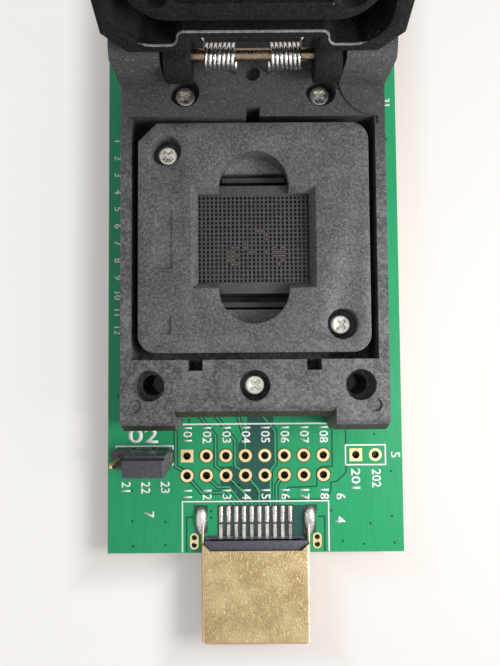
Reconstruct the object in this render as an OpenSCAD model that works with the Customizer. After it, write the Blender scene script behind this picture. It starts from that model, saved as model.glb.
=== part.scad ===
/* [Board] */
// Width of the adapter board
board_w = 38.4; // [37.5:0.1:46]
// How far the board runs on behind the socket
board_tail = 9.5; // [3:0.5:16]
// Thickness of the board
board_t = 1.6; // [1.2:0.1:2]
// Pitch of every pin header pattern
header_pitch = 2.54; // [2.3:0.02:2.6]
// Number of columns in the two-row header pattern
header_columns = 8; // [4:1:8]
// Distance from the board's plug edge to the front row of header holes
header_setback = 9.9; // [9.6:0.1:13]
// Distance from the socket's legs to the rear row of header holes
header_gap = 4.06; // [3:0.02:8]
// Inner diameter of a plated header hole
header_hole_d = 1.0; // [0.95:0.05:1.2]
// Outer diameter of a header pad
header_pad_d = 1.65; // [1.5:0.05:1.9]
// How far the side headers sit outside the middle of the board's side margins
side_header_shift = 0.36; // [0:0.02:0.4]
// Thickness of plating on the board's faces
plating_t = 0.05; // [0.03:0.01:0.08]

/* [Plug] */
// Width of the plug shell
plug_w = 13.9; // [13.5:0.1:14.3]
// Height of the plug shell
plug_h = 4.45; // [4.2:0.05:4.8]
// How far the plug reaches past the board's edge
plug_reach = 11.1; // [9:0.1:14]
// How far the plug shell laps over the board's edge
plug_lap = 0.6; // [0.4:0.1:1]
// Wall of the plug shell
plug_wall = 0.3; // [0.2:0.05:0.4]
// Pitch of the plug contacts in one row
contact_pitch = 1.0; // [0.9:0.05:1]
// Number of contacts in the upper row
upper_contacts = 10; // [6:1:10]
// Width of a plug contact
contact_w = 0.4; // [0.3:0.05:0.5]
// Thickness of a plug contact
contact_t = 0.2; // [0.15:0.01:0.25]
// Height of the slot that takes the mating tongue
tongue_slot_h = 2.1; // [1.9:0.05:2.2]
// Width of the slot that takes the mating tongue
tongue_slot_w = 11.4; // [11:0.1:12]
// Distance from the plug edge back to the end of the soldered tails
tail_reach = 6.1; // [5.5:0.1:6.5]

/* [Jumper header] */
// Width of a square header pin
pin_w = 0.64; // [0.5:0.01:0.64]
// Height of the header's plastic block
header_body_h = 2.54; // [2:0.02:3]
// Depth of the header's plastic block
header_body_d = 2.5; // [2.2:0.05:2.5]
// Height of the pin tips above the board
pin_tip_h = 8.1; // [7.5:0.1:8.1]
// Height of the jumper cap
cap_h = 5.9; // [5.9:0.1:7]
// Gap left between the jumper cap and the header's plastic block
cap_lift = 0.3; // [0.3:0.05:0.8]
// Thickness of the jumper cap's closed top
cap_roof = 0.6; // [0.4:0.05:0.6]
// Depth of the jumper cap
cap_d = 2.4; // [2.2:0.05:2.5]

/* [Socket base] */
// Width of the socket base
base_w = 31.2; // [30.6:0.1:34]
// Distance from the chip centre to the front of the base's legs
base_front = 22.8; // [22.4:0.1:24]
// How far the latch notch sits back from the front of the legs
notch_set = 1.6; // [1:0.1:2]
// Width of the latch notch between the legs
notch_w = 18.8; // [18:0.1:20]
// Height of the base's top face above the board
base_h = 9.5; // [9:0.1:11]
// Width of the 45 degree bevel on the front top edge
front_bevel = 1.35; // [0.8:0.05:1.6]
// Thickness of the walls beside the square cavity for the guide plate
cavity_wall = 1.2; // [0.8:0.05:1.6]
// Depth of the cavity's floor below the base's top face
cavity_depth = 6.1; // [5.9:0.1:6.6]
// Depth by which the rear deck is sunk below the top face
deck_sink = 0.25; // [0.1:0.05:0.4]
// Distance of the rear screws from the centre line
rear_screw_x = 8.11; // [7:0.01:8.2]
// Distance of every base screw from the cavity
screw_set = 3.0; // [2.4:0.1:3.4]
// Distance of the spare mounting holes from the centre line
spare_hole_x = 12.27; // [11.5:0.01:12.6]
// Diameter of a spare mounting hole
spare_hole_d = 2.5; // [2.2:0.1:2.8]
// Diameter of the counterbores over the screws
counterbore_d = 3.6; // [3.2:0.1:3.8]

/* [Screws] */
// Diameter of a screw's shank
screw_d = 1.6; // [1.4:0.1:1.8]
// Diameter of a screw's head
screw_head_d = 2.48; // [2.2:0.02:2.9]
// Height of a screw's head
screw_head_h = 1.0; // [0.8:0.1:1.2]
// Depth of a base screw's head below the base's top face
base_head_depth = 1.6; // [1:0.1:2.4]
// Width across the flats of a nut
nut_w = 3.2; // [3:0.1:3.6]

/* [Guide plate] */
// Gap between the square guide plate and the cavity's walls
guide_gap = 0.8; // [0.4:0.05:1]
// Depth of the guide plate's top face below the base's top face
guide_sink = 0.1; // [0.05:0.05:0.3]
// Thickness of the guide plate
guide_t = 4.5; // [4.2:0.1:4.7]
// How far the guide plate sinks on its springs
guide_travel = 0.3; // [0.2:0.05:0.35]
// Radius of the guide plate's round corners
guide_corner_r = 2.1; // [1.5:0.1:3]
// Width of the guide plate's bevelled key corner
guide_key = 2.2; // [1.5:0.1:3]
// Distance of the guide screws from the guide plate's edges
guide_screw_inset = 3.3; // [3:0.1:3.8]
// Depth of a guide screw's head below the guide plate's top
guide_head_depth = 1.85; // [1.2:0.05:2]
// Width of the chip pocket at its floor
pocket_w = 13.15; // [12.8:0.05:13.4]
// Depth of the chip pocket at its floor, front to back
pocket_d = 10.6; // [10.2:0.1:11]
// How far the pocket widens from floor to top, on each side
pocket_lead = 0.75; // [0.4:0.05:0.9]
// Radius of the finger cut-outs in front of and behind the pocket
finger_r = 4.15; // [3.5:0.05:4.4]
// Depth of the finger cut-outs
finger_depth = 2.8; // [2.4:0.1:3.2]
// How far the finger cut-outs' floors stay clear of the contact grid
finger_step = 1.5; // [1:0.1:1.6]
// Outer diameter of the springs under the guide plate
guide_spring_d = 2.2; // [1.8:0.1:2.4]
// Wire diameter of the springs under the guide plate
guide_wire_d = 0.3; // [0.2:0.02:0.34]
// Distance of those springs from the guide plate's left and right edges
guide_spring_inset = 2.4; // [2:0.1:2.8]
// Distance of those springs from the cross centre line
guide_spring_y = 5; // [3:0.5:6]

/* [Contacts] */
// Pitch of the contact holes
grid_pitch = 0.5; // [0.45:0.01:0.5]
// Number of columns in the contact grid
grid_columns = 27; // [15:2:27]
// Number of rows in the contact grid
grid_rows = 21; // [19:2:21]
// Width of a contact hole
grid_hole = 0.28; // [0.26:0.01:0.32]
// Depth of a contact hole, front to back
grid_hole_d = 0.36; // [0.28:0.01:0.38]
// Depth of the contact grid's top face below the guide plate's top face
contact_depth = 1.7; // [1.65:0.05:1.8]
// Thickness of the contact grid plate
grid_t = 0.5; // [0.4:0.1:0.8]
// Diameter of a spring contact
probe_d = 0.2; // [0.16:0.01:0.22]

/* [Hinge] */
// Distance from the chip centre to the hinge axis
hinge_y = 20; // [19.6:0.1:21]
// Height of the hinge axis above the base's top face
hinge_rise = 3.3; // [3.2:0.1:3.6]
// Diameter of the hinge pin
hinge_pin_d = 1.4; // [1:0.1:1.6]
// Radius of the rounded tops of the hinge blocks
block_r = 3.5; // [3:0.1:3.5]
// Distance from the centre line to the inner face of a hinge block
block_in = 10.2; // [10:0.1:11]
// Gap between a lid knuckle and its hinge block
knuckle_gap = 0.3; // [0.1:0.05:0.5]
// Width of a lid knuckle
knuckle_w = 3.0; // [2.4:0.1:3.4]
// Angle that the lid opens to
lid_open_angle = 108; // [100:1:112]
// Mean diameter of the lid springs' coils
lid_spring_d = 2.6; // [2.5:0.1:2.8]
// Wire diameter of the lid springs
lid_wire_d = 0.4; // [0.3:0.02:0.44]
// Pitch of the lid springs' coils
lid_spring_pitch = 0.5; // [0.46:0.01:0.52]
// Number of coils in each lid spring
lid_spring_coils = 7; // [5:1:7]

/* [Lid] */
// How far the lid's front face sits back from the base's legs
lid_set = 1.5; // [1.3:0.1:1.8]
// Thickness of the lid frame
lid_t = 8.45; // [8.2:0.05:10]
// Thickness of the lid's top wall
lid_roof = 1.7; // [1.2:0.1:2]
// Gap between the closed lid and the base
lid_gap = 0.05; // [0.02:0.01:0.1]
// Thickness of the lid's side walls
lid_wall = 1.7; // [1.4:0.1:2.2]
// How far the lid's rear wall is cut back between the knuckles, for the springs
spring_bay = 1.8; // [1.2:0.1:1.9]
// Width of the bevel round the lid's top
lid_bevel = 1.2; // [0.6:0.1:1.6]
// Gap between the square pressure plate and the lid's side walls
press_gap = 1.2; // [0.8:0.1:1.6]
// Thickness of the pressure plate
press_t = 3.0; // [2.8:0.1:3.4]
// Radius of the pressure plate's corners
press_corner_r = 4.5; // [3:0.1:5]
// How far the pressure plate can be pushed into the lid
press_travel = 1.0; // [0.6:0.1:1.2]
// Distance of the pressure plate's screws from its edges
press_screw_inset = 3.0; // [2.6:0.1:3.4]
// Outer diameter of the springs behind the pressure plate
press_spring_d = 3.0; // [2.4:0.1:3.4]
// Wire diameter of the springs behind the pressure plate
press_wire_d = 0.4; // [0.3:0.02:0.44]
// Clear height left over the contact grid for a chip
chip_room = 1.1; // [0.9:0.05:1.3]
// Angle that the latch swings out
latch_angle = 20; // [15:1:20]
// Diameter of the latch pin
latch_pin_d = 1.2; // [1:0.1:1.3]

/* [Hidden] */
$fn = 48;

// Clearances that every fit takes its size from
run_clear = 0.03;
slide_clear = 0.3;
seat_clear = 0.05;
thread_clear = 0.02;
shank_clear = 0.1;
slip_clear = 0.15;
spring_clear = 0.3;
past = 1;

// Plan of the socket, from its width
cavity_w = base_w - 2 * cavity_wall;
guide_w = cavity_w - 2 * guide_gap;
guide_screw_at = guide_w / 2 - guide_screw_inset;
lid_cavity_w = base_w - 2 * lid_wall;
press_w = lid_cavity_w - 2 * press_gap;
press_screw_at = press_w / 2 - press_screw_inset;
screw_y = cavity_w / 2 + screw_set;
knuckle_out = block_in - knuckle_gap;
knuckle_in = knuckle_out - knuckle_w;
block_rear = hinge_y + block_r;

// Levels of the socket, down from its top face
guide_top = base_h - guide_sink;
contact_top = guide_top - contact_depth;
finger_floor = guide_top - finger_depth;
cavity_floor = base_h - cavity_depth;

// Board levels, edges and rows
board_bottom = -board_t;
board_rear = block_rear + board_tail;
header_row_rear = -(base_front + header_gap);
header_row_front = header_row_rear - header_pitch;
board_front = header_setback - header_row_front;
main_half = (header_columns - 1) / 2 * header_pitch;
side_header_x = (board_w / 2 + main_half) / 2 + side_header_shift;
shell_top = (plug_h - board_t) / 2;
rest_z = board_bottom - shell_top;

// Plug stations along Y
strip_w = 1.15;
tail_l = 2.4;
plug_tip = -(board_front + plug_reach);
shell_back = -(board_front - plug_lap);
insulator_back = shell_back + strip_w;
tail_end = -(board_front - tail_reach);
tail_start = tail_end - tail_l;
tongue_depth = 8.6;
contact_reach = 8.4;
contact_bow_at = 6.2;
contact_bend = 1.2;
contact_dip = 0.12;
groove_clear = 0.1;
mid_z = -board_t / 2;
shield_leg_x = plug_w / 2 + 0.1;

// Hinge, lid and latch levels
lid_front = base_front - lid_set;
hinge_z = base_h + hinge_rise;
rim_z = base_h + lid_gap;
lid_top = rim_z + lid_t;
roof_z = lid_top - lid_roof;
lid_rear = hinge_y - block_r - 0.1;
lid_corner_bevel = 2.4;
press_face = rim_z + 0.2;
press_back = press_face + press_t;
pusher_face = contact_top + chip_room;
pad_reach = 1.3;
arm_t = 1.2;
latch_inset = 1.1;
latch_drop = 3.8;
latch_room = 2.2;
latch_gap = 0.7;
hook_depth = 3.2;
hook_play = 0.3;
groove_h = 3.2;
latch_y = -(lid_front - latch_inset);
latch_z = lid_top - latch_drop;
notch_front = -(base_front - notch_set);
arm_in = notch_front - slide_clear;
arm_out = arm_in - arm_t;
hook_z = base_h - hook_depth;
ledge_z = hook_z + hook_play;
groove_floor = ledge_z - groove_h;
latch_w = notch_w - 2 * latch_gap;
notch_wall = latch_y + latch_room;

// Place of the part: centred in plan, resting on z = 0
function turned_y(y, z) = hinge_y + (y - hinge_y) * cos(lid_open_angle) + (z - hinge_z) * sin(lid_open_angle);
pad_tip_y = arm_out - pad_reach;
rear_reach = turned_y(pad_tip_y, lid_top);
y_shift = -(plug_tip + rear_reach) / 2;
z_shift = -rest_z;

screw_sites = [[-rear_screw_x, screw_y], [rear_screw_x, screw_y], [0, -screw_y]];
guide_screw_sites = [[-guide_screw_at, guide_screw_at], [guide_screw_at, -guide_screw_at]];
guide_spring_sites = [for (sx = [-1, 1], sy = [-1, 1])
  [sx * (guide_w / 2 - guide_spring_inset), sy * guide_spring_y]];
press_screw_sites = [for (sx = [-1, 1], sy = [-1, 1]) [sx * press_screw_at, sy * press_screw_at]];
press_spring_sites = [[press_screw_at, 0], [-press_screw_at, 0], [0, press_screw_at], [0, -press_screw_at]];

plastic = [0.13, 0.13, 0.14];
steel = [0.78, 0.78, 0.8];
gold = [0.83, 0.62, 0.25];
tin = [0.75, 0.76, 0.78];

// ---- placing and shared shapes ----

module placed() {
  translate([0, y_shift, z_shift]) children();
}

// Turns what is drawn closed over the base to its open rest place
module lid_pose() {
  placed() translate([0, hinge_y, hinge_z]) rotate([-lid_open_angle, 0, 0])
    translate([0, -hinge_y, -hinge_z]) children();
}

// Extrudes a Y-Z outline across X
module across(x0, x1) {
  translate([x0, 0, 0]) rotate([90, 0, 90]) linear_extrude(x1 - x0) children();
}

// Extrudes an X-Z outline along Y
module along(y0, y1) {
  translate([0, y1, 0]) rotate([90, 0, 0]) linear_extrude(y1 - y0) children();
}

module block(x0, x1, y0, y1, z0, z1) {
  translate([x0, y0, z0]) cube([x1 - x0, y1 - y0, z1 - z0]);
}

module post(at, d, z0, z1) {
  translate([at[0], at[1], z0]) cylinder(h = z1 - z0, d = d);
}

module mirrored() {
  children();
  mirror([1, 0, 0]) children();
}

module rounded(w, d, r) {
  square([w - 2 * r, d], center = true);
  square([w, d - 2 * r], center = true);
  for (sx = [-1, 1], sy = [-1, 1]) translate([sx * (w / 2 - r), sy * (d / 2 - r)]) circle(r);
}

// Frustum with a small and a large rectangle, from z0 up to z1
module lead_in(w0, d0, z0, w1, d1, z1) {
  intersection() {
    along(-d1 / 2, d1 / 2) polygon([[-w0 / 2, z0], [w0 / 2, z0], [w1 / 2, z1], [-w1 / 2, z1]]);
    across(-w1 / 2, w1 / 2) polygon([[-d0 / 2, z0], [d0 / 2, z0], [d1 / 2, z1], [-d1 / 2, z1]]);
  }
}

// ---- sprung wire: a round bar swept along points ----

function unit(v) = v / norm(v);
function heading(p, i) = unit(p[min(i + 1, len(p) - 1)] - p[max(i - 1, 0)]);
function ring(p, i, r, sides, ref) =
  let (t = heading(p, i), a = unit(cross(ref, t)), b = cross(t, a))
  [for (k = [0 : sides - 1]) p[i] + r * (cos(360 * k / sides) * a + sin(360 * k / sides) * b)];

module wire(p, r, sides, ref) {
  n = len(p);
  skin = [for (i = [0 : n - 1]) for (q = ring(p, i, r, sides, ref)) q];
  walls = [for (i = [0 : n - 2], k = [0 : sides - 1])
    let (a = i * sides + k, b = i * sides + (k + 1) % sides)
    each [[a, a + sides, b + sides], [a, b + sides, b]]];
  start = [[for (k = [0 : sides - 1]) k]];
  end = [[for (k = [0 : sides - 1]) n * sides - 1 - k]];
  polyhedron(points = skin, faces = concat(start, walls, end), convexity = 8);
}

// Coil points about the X axis, from angle a0 over so many turns
function coil_x(r, pitch, turns, a0, steps) =
  [for (i = [0 : steps]) let (f = turns * i / steps, a = a0 + 360 * f) [pitch * f, r * cos(a), r * sin(a)]];

// Coil points about the Z axis with closed ends
function coil_z(r, h, wire_d, turns, steps) =
  [for (i = [0 : steps]) let (f = i / steps, g = min(1, max(0, (f * turns - 1) / (turns - 2))))
    [r * cos(360 * f * turns), r * sin(360 * f * turns),
     wire_d / 2 + wire_d * 1.15 * (min(1, f * turns) + max(0, f * turns - turns + 1))
     + (h - wire_d * 3.3) * g]];

module compression_spring(d, wire_d, h, turns) {
  wire(coil_z(d / 2, h, wire_d, turns, turns * 12), wire_d / 2, 6, [0, 0, 1]);
}

// ---- fasteners ----

head_edge = 0.18;
cross_l = screw_head_d * 0.6;
cross_w = 0.36;
cross_depth = screw_head_h * 0.55;

// Pan-head screw with a cross recess, its seat on z = 0
module screw(shank_len) {
  difference() {
    union() {
      cylinder(h = screw_head_h - head_edge, d = screw_head_d);
      translate([0, 0, screw_head_h - head_edge])
        cylinder(h = head_edge, d1 = screw_head_d, d2 = screw_head_d - 2 * head_edge);
      translate([0, 0, -shank_len]) cylinder(h = shank_len + head_edge, d = screw_d);
    }
    for (turn = [0, 90]) rotate(turn + 45)
      block(-cross_l / 2, cross_l / 2, -cross_w / 2, cross_w / 2,
        screw_head_h - cross_depth, screw_head_h + past);
  }
}

// ---- board ----

function row(cx, count, y) = [for (i = [0 : count - 1]) [cx + (i - (count - 1) / 2) * header_pitch, y]];
main_holes = concat(row(0, header_columns, header_row_rear), row(0, header_columns, header_row_front));
aux_holes = row(side_header_x, 2, header_row_rear);
pin_sites = row(-side_header_x, 3, header_row_rear);
header_holes = concat(main_holes, aux_holes, pin_sites);
shield_x = plug_w / 2 + 1.02;
shield_hole_d = 0.7;
shield_land_d = 1.1;
shield_rows = [1.0, 1.95];
shield_holes = [for (sx = [-1, 1], k = shield_rows) [sx * shield_x, -(board_front - k)]];

module circuit_board() {
  placed() color([0.1, 0.5, 0.3]) translate([0, 0, board_bottom]) linear_extrude(board_t) difference() {
    translate([-board_w / 2, -board_front]) square([board_w, board_front + board_rear]);
    for (h = header_holes) translate(h) circle(d = header_hole_d);
    for (h = shield_holes) translate(h) circle(d = shield_hole_d);
    for (s = screw_sites) translate(s) circle(d = screw_d + 2 * shank_clear);
    for (sx = [-1, 1]) translate([sx * spare_hole_x, -screw_y]) circle(d = spare_hole_d);
  }
}

// Gold land on both faces of the board, round a hole of bore_d
module lands(bore_sites, bore_d) {
  for (z = [0, board_bottom - plating_t]) translate([0, 0, z]) linear_extrude(plating_t) difference() {
    children();
    for (h = bore_sites) translate(h) circle(d = bore_d);
  }
}

module header_land(at, square_land) {
  lands([at], header_hole_d) translate(at) {
    if (square_land) square(header_pad_d, center = true);
    else circle(d = header_pad_d);
  }
}

// One long land round the two ground holes beside the plug
module shield_land(side) {
  x = side * shield_x;
  lands(shield_holes, shield_hole_d) {
    for (k = shield_rows) translate([x, -(board_front - k)]) circle(d = shield_land_d);
    translate([x - shield_land_d / 2, -(board_front - shield_rows[0])])
      square([shield_land_d, shield_rows[1] - shield_rows[0]]);
  }
}

module plated_holes() {
  placed() color(gold) {
    for (i = [0 : len(main_holes) - 1]) header_land(main_holes[i], i == 0);
    for (i = [0 : 1]) header_land(aux_holes[i], i == 0);
    for (h = pin_sites) header_land(h, false);
    for (side = [-1, 1]) shield_land(side);
  }
}

// ---- plug ----

// Outline of the plug in X-Z: wide side up, lower corners stepped in
module plug_outline(inset) {
  half = plug_w / 2 - inset;
  low = half - 1.75;
  top = shell_top - inset;
  bottom = rest_z + inset;
  knee = top - (plug_h - 2 * inset) * 0.56;
  r = 0.5;
  polygon([[-half, top - r], [-half + r, top], [half - r, top], [half, top - r], [half, knee],
    [half - 0.35, knee - 0.5], [low + 0.3, bottom + 0.35], [low - 0.2, bottom],
    [-low + 0.2, bottom], [-low - 0.3, bottom + 0.35], [-half + 0.35, knee - 0.5], [-half, knee]]);
}

module plug_shell() {
  placed() color(gold) {
    difference() {
      intersection() {
        along(plug_tip, shell_back) plug_outline(0);
        across(-plug_w, plug_w) polygon([[plug_tip, rest_z + 0.35], [plug_tip + 0.4, rest_z],
          [shell_back, rest_z], [shell_back, shell_top], [plug_tip + 0.4, shell_top],
          [plug_tip, shell_top - 0.35]]);
      }
      along(plug_tip - past, shell_back + past) plug_outline(plug_wall);
      board_slot();
    }
    // two feet that run back over the board
    mirrored() {
      block(shield_leg_x - 0.6, shield_leg_x + 0.5, shell_back, tail_end - 0.5, plating_t, plating_t + 0.3);
      block(plug_w / 2 - 0.5, shield_leg_x + 0.5, shell_back - 0.9, shell_back, plating_t, plating_t + 0.3);
    }
  }
}

// Side view of one upper contact in Y-Z, tail to the rear, sprung bow at the front
module contact_side() {
  z = plating_t;
  top = z + contact_t;
  bow = -board_front - contact_bow_at;
  end = -board_front - contact_reach;
  polygon([[tail_start, z], [tail_start, top], [bow + contact_bend, top], [bow, top - contact_dip],
    [end, top], [end, z], [bow, z - contact_dip], [bow + contact_bend, z]]);
}

module upper_contact(x) {
  across(x - contact_w / 2, x + contact_w / 2) contact_side();
}

module contact_row(count) {
  for (i = [0 : count - 1]) upper_contact((i - (count - 1) / 2) * contact_pitch);
}

// Turns what lies over the board to the same place under it
module under() {
  translate([0, 0, 2 * mid_z]) mirror([0, 0, 1]) children();
}

module plug_contacts_upper() {
  placed() color(gold) contact_row(upper_contacts);
}

module plug_contacts_lower() {
  placed() color(gold) under() contact_row(upper_contacts - 1);
}

module plug_insulator() {
  inner = plug_wall + 0.02;
  placed() color([0.09, 0.09, 0.1]) difference() {
    union() {
      along(plug_tip + 0.6, shell_back) plug_outline(inner);
      along(shell_back, insulator_back) square_band(inner);
    }
    // slot for the mating tongue and slot for the board's edge
    block(-tongue_slot_w / 2, tongue_slot_w / 2, plug_tip - past, plug_tip + 0.6 + tongue_depth,
      mid_z - tongue_slot_h / 2, mid_z + tongue_slot_h / 2);
    board_slot();
    contact_grooves(upper_contacts);
    under() contact_grooves(upper_contacts - 1);
    mirrored() block(shield_leg_x - 0.65, plug_w, shell_back - 1, insulator_back + past, 0, plating_t + 0.35);
  }
}

// Slot that the board's edge pushes into
module board_slot() {
  block(-plug_w, plug_w, -board_front - seat_clear, insulator_back + past, board_bottom - plating_t, plating_t);
}

module square_band(inner) {
  half = tongue_slot_w / 2 + 0.1;
  polygon([[-half, shell_top - inner - 0.15], [half, shell_top - inner - 0.15],
    [half, rest_z + inner + 0.15], [-half, rest_z + inner + 0.15]]);
}

module contact_grooves(count) {
  for (i = [0 : count - 1]) {
    x = (i - (count - 1) / 2) * contact_pitch;
    block(x - contact_w / 2 - thread_clear, x + contact_w / 2 + thread_clear,
      -board_front - contact_reach - groove_clear, insulator_back + past,
      0, plating_t + contact_t + thread_clear);
  }
}

// A fillet of solder: a round bar with ball ends, cut off at the board
module solder_bead(x, y0, y1, w, h) {
  r = (w * w / 4 + h * h) / (2 * h);
  sink = r - h;
  intersection() {
    union() {
      translate([x, y1 - w / 2, -sink]) rotate([90, 0, 0]) cylinder(h = y1 - y0 - w, r = r);
      for (y = [y0 + w / 2, y1 - w / 2]) translate([x, y, -sink]) sphere(r);
    }
    block(x - w, x + w, y0 - w, y1 + w, 0, h + past);
  }
}

module solder_row(count) {
  for (i = [0 : count - 1])
    solder_bead((i - (count - 1) / 2) * contact_pitch, tail_start + 0.02, tail_end, 0.62, 0.24);
}

module solder_joints() {
  placed() color(tin) {
    solder_row(upper_contacts);
    under() solder_row(upper_contacts - 1);
    mirrored() difference() {
      solder_bead(shield_leg_x, shell_back + 1.85, tail_end - 0.2, 1.5, 0.62);
      block(shield_leg_x - 0.62, shield_leg_x + 0.52, shell_back - past, tail_end - 0.48, -past, plating_t + 0.32);
    }
    for (s = pin_sites) difference() {
      translate([s[0], s[1], board_bottom - plating_t - 0.7]) cylinder(h = 0.7, d1 = 1.0, d2 = 1.5);
      block(s[0] - pin_w / 2, s[0] + pin_w / 2, s[1] - pin_w / 2, s[1] + pin_w / 2, rest_z - past, 0);
    }
  }
}

// ---- jumper header ----

// Outline of the header block: a chamfered cell for each pin
module header_cells(count) {
  half = header_pitch / 2;
  c = 0.45;
  d = header_body_d / 2;
  for (i = [0 : count - 1]) translate([(i - (count - 1) / 2) * header_pitch, 0])
    polygon([[-half, -d + c], [-half + c, -d], [half - c, -d], [half, -d + c],
      [half, d - c], [half - c, d], [-half + c, d], [-half, d - c]]);
}

module header_body() {
  placed() color(plastic) translate([-side_header_x, header_row_rear, plating_t])
    linear_extrude(header_body_h) difference() {
      header_cells(3);
      for (i = [-1 : 1]) translate([i * header_pitch, 0]) square(pin_w, center = true);
    }
}

// Side view of a square pin with bevelled ends
module pin_side(z0, z1) {
  h = pin_w / 2;
  c = 0.2;
  polygon([[-h + c, z0], [h - c, z0], [h, z0 + 0.4], [h, z1 - 0.5], [h - c, z1], [-h + c, z1],
    [-h, z1 - 0.5], [-h, z0 + 0.4]]);
}

module header_pins() {
  placed() color(gold) for (s = pin_sites) translate([s[0], s[1], 0]) intersection() {
    along(-1, 1) pin_side(rest_z + 0.2, pin_tip_h);
    across(-1, 1) pin_side(rest_z + 0.2, pin_tip_h);
  }
}

cap_x = -side_header_x + header_pitch / 2;
cap_w = 2 * header_pitch - 0.18;
cap_z = plating_t + header_body_h + cap_lift;
sleeve_in = pin_w + 2 * run_clear;
sleeve_t = 0.16;

module jumper_cap() {
  placed() color([0.14, 0.13, 0.17]) translate([cap_x, header_row_rear, cap_z]) difference() {
    across(-cap_w / 2, cap_w / 2) polygon([[-cap_d / 2, 0.2], [-cap_d / 2 + 0.2, 0], [cap_d / 2 - 0.2, 0],
      [cap_d / 2, 0.2], [cap_d / 2, cap_h - 1.3], [cap_d / 2 - 0.7, cap_h - 1.3], [cap_d / 2 - 0.7, cap_h - 0.4],
      [cap_d / 2 - 0.95, cap_h], [-cap_d / 2 + 0.25, cap_h], [-cap_d / 2, cap_h - 0.25]]);
    for (sx = [-1, 1]) translate([sx * header_pitch / 2, 0, -past])
      block(-cell / 2, cell / 2, -cell / 2, cell / 2, 0, cap_h - cap_roof + past);
    block(-header_pitch / 2, header_pitch / 2, -0.3, 0.3, cap_h - 2.4, cap_h - cap_roof);
  }
}
cell = sleeve_in + 2 * sleeve_t + 2 * run_clear;

module jumper_clip() {
  placed() color(gold) translate([cap_x, header_row_rear, cap_z + 0.3]) {
    difference() {
      for (sx = [-1, 1]) translate([sx * header_pitch / 2, 0, 0])
        block(-cell / 2 + run_clear, cell / 2 - run_clear, -cell / 2 + run_clear, cell / 2 - run_clear, 0, cap_h - 1.2);
      for (sx = [-1, 1]) translate([sx * header_pitch / 2, 0, -past])
        block(-sleeve_in / 2, sleeve_in / 2, -sleeve_in / 2, sleeve_in / 2, 0, cap_h + 2 * past);
    }
    bridge_in = header_pitch / 2 - cell / 2 + run_clear;
    block(-bridge_in, bridge_in, -0.25, 0.25, cap_h - 2.4, cap_h - 1.3);
  }
}

// ---- socket base ----

block_front = hinge_y - 2;
flange_t = 1.8;
block_clear = 0.1;
arc_r = 4.6;
arc_at = [block_in + arc_r, block_front + 0.9];

module front_profile(y0) {
  polygon([[y0, 0], [block_rear, 0], [block_rear, base_h], [y0 + front_bevel, base_h], [y0, base_h - front_bevel]]);
}

// Side view of a hinge block: round over the pin, flat in front
module hinge_block_side() {
  intersection() {
    union() {
      translate([hinge_y, hinge_z]) circle(block_r);
      translate([block_front, base_h - past]) square([block_rear - block_front, hinge_rise + past]);
    }
    translate([block_front, base_h - past]) square([block_rear - block_front, hinge_rise + block_r + 2 * past]);
  }
}

module socket_base() {
  half = base_w / 2;
  placed() color(plastic) difference() {
    union() {
      difference() {
        across(-half, half) front_profile(-base_front);
        block(-notch_w / 2, notch_w / 2, -base_front - past, notch_front, -past, base_h + past);
        // the bevel goes on round the latch notch
        across(-notch_w / 2, notch_w / 2) polygon([[notch_front - past, base_h - front_bevel - past],
          [notch_front + front_bevel + past, base_h + past], [notch_front - past, base_h + past]]);
        rear_deck();
      }
      mirrored() across(block_in, half) hinge_block_side();
      // ribs that stop the open lid
      mirrored() block(knuckle_in, knuckle_out, hinge_y + 0.6, block_rear, base_h - past, heel_z - seat_clear);
    }
    block(-cavity_w / 2, cavity_w / 2, -cavity_w / 2, cavity_w / 2, cavity_floor, base_h + past);
    key_notches();
    // seat of the contact block, from below
    block(-flange_w / 2 - block_clear, flange_w / 2 + block_clear, -flange_d / 2 - block_clear,
      flange_d / 2 + block_clear, -past, flange_t + seat_clear);
    block(-boss_w / 2 - block_clear, boss_w / 2 + block_clear, -boss_d / 2 - block_clear,
      boss_d / 2 + block_clear, -past, cavity_floor + past);
    for (s = screw_sites) {
      post(s, screw_d + 2 * shank_clear, -past, base_h + past);
      post(s, counterbore_d, head_seat, base_h + past);
    }
    for (s = guide_screw_sites) post(s, screw_d + 2 * thread_clear, 0.6, cavity_floor + past);
    mirrored() {
      post([spare_hole_x, -screw_y], spare_hole_d, -past, base_h + past);
      post([spare_hole_x, -screw_y], counterbore_d, base_h - 3, base_h + past);
      // shallow ejector dimple
      post([half - 1.7, -base_front + 3.1], 1.6, base_h - 0.3, base_h + past);
    }
    // undercut that the latch hooks into
    block(-latch_w / 2 - 0.4, latch_w / 2 + 0.4, notch_front - past, notch_front + 1.2, groove_floor, ledge_z);
    // small round recess behind the cavity
    post([0, block_front + recess_set], recess_d, base_h - deck_sink - recess_depth, base_h + past);
    translate([-half - past, hinge_y, hinge_z]) rotate([0, 90, 0])
      cylinder(h = base_w + 2 * past, d = hinge_pin_d + 2 * run_clear);
  }
}
head_seat = base_h - base_head_depth - screw_head_h;
heel_z = hinge_z - 3.0;
recess_set = 1.6;
recess_d = 1.8;
recess_depth = 1.2;

// Sunk area of the rear deck between two round-cornered pads
module rear_deck() {
  translate([0, 0, base_h - deck_sink]) linear_extrude(deck_sink + past) difference() {
    translate([-arc_at[0], cavity_w / 2 - past]) square([2 * arc_at[0], block_rear - cavity_w / 2 + 2 * past]);
    for (sx = [-1, 1]) translate([sx * arc_at[0], arc_at[1]]) circle(arc_r);
    for (sx = [-1, 1]) translate([sx * arc_at[0] - arc_r, arc_at[1]])
      square([2 * arc_r, block_rear - arc_at[1] + 2 * past]);
  }
}

front_key_x = 6.9;
front_key_w = 1.7;
front_key_d = 1.25;
rear_key_w = 1.64;
rear_key_d = 1.1;

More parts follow.
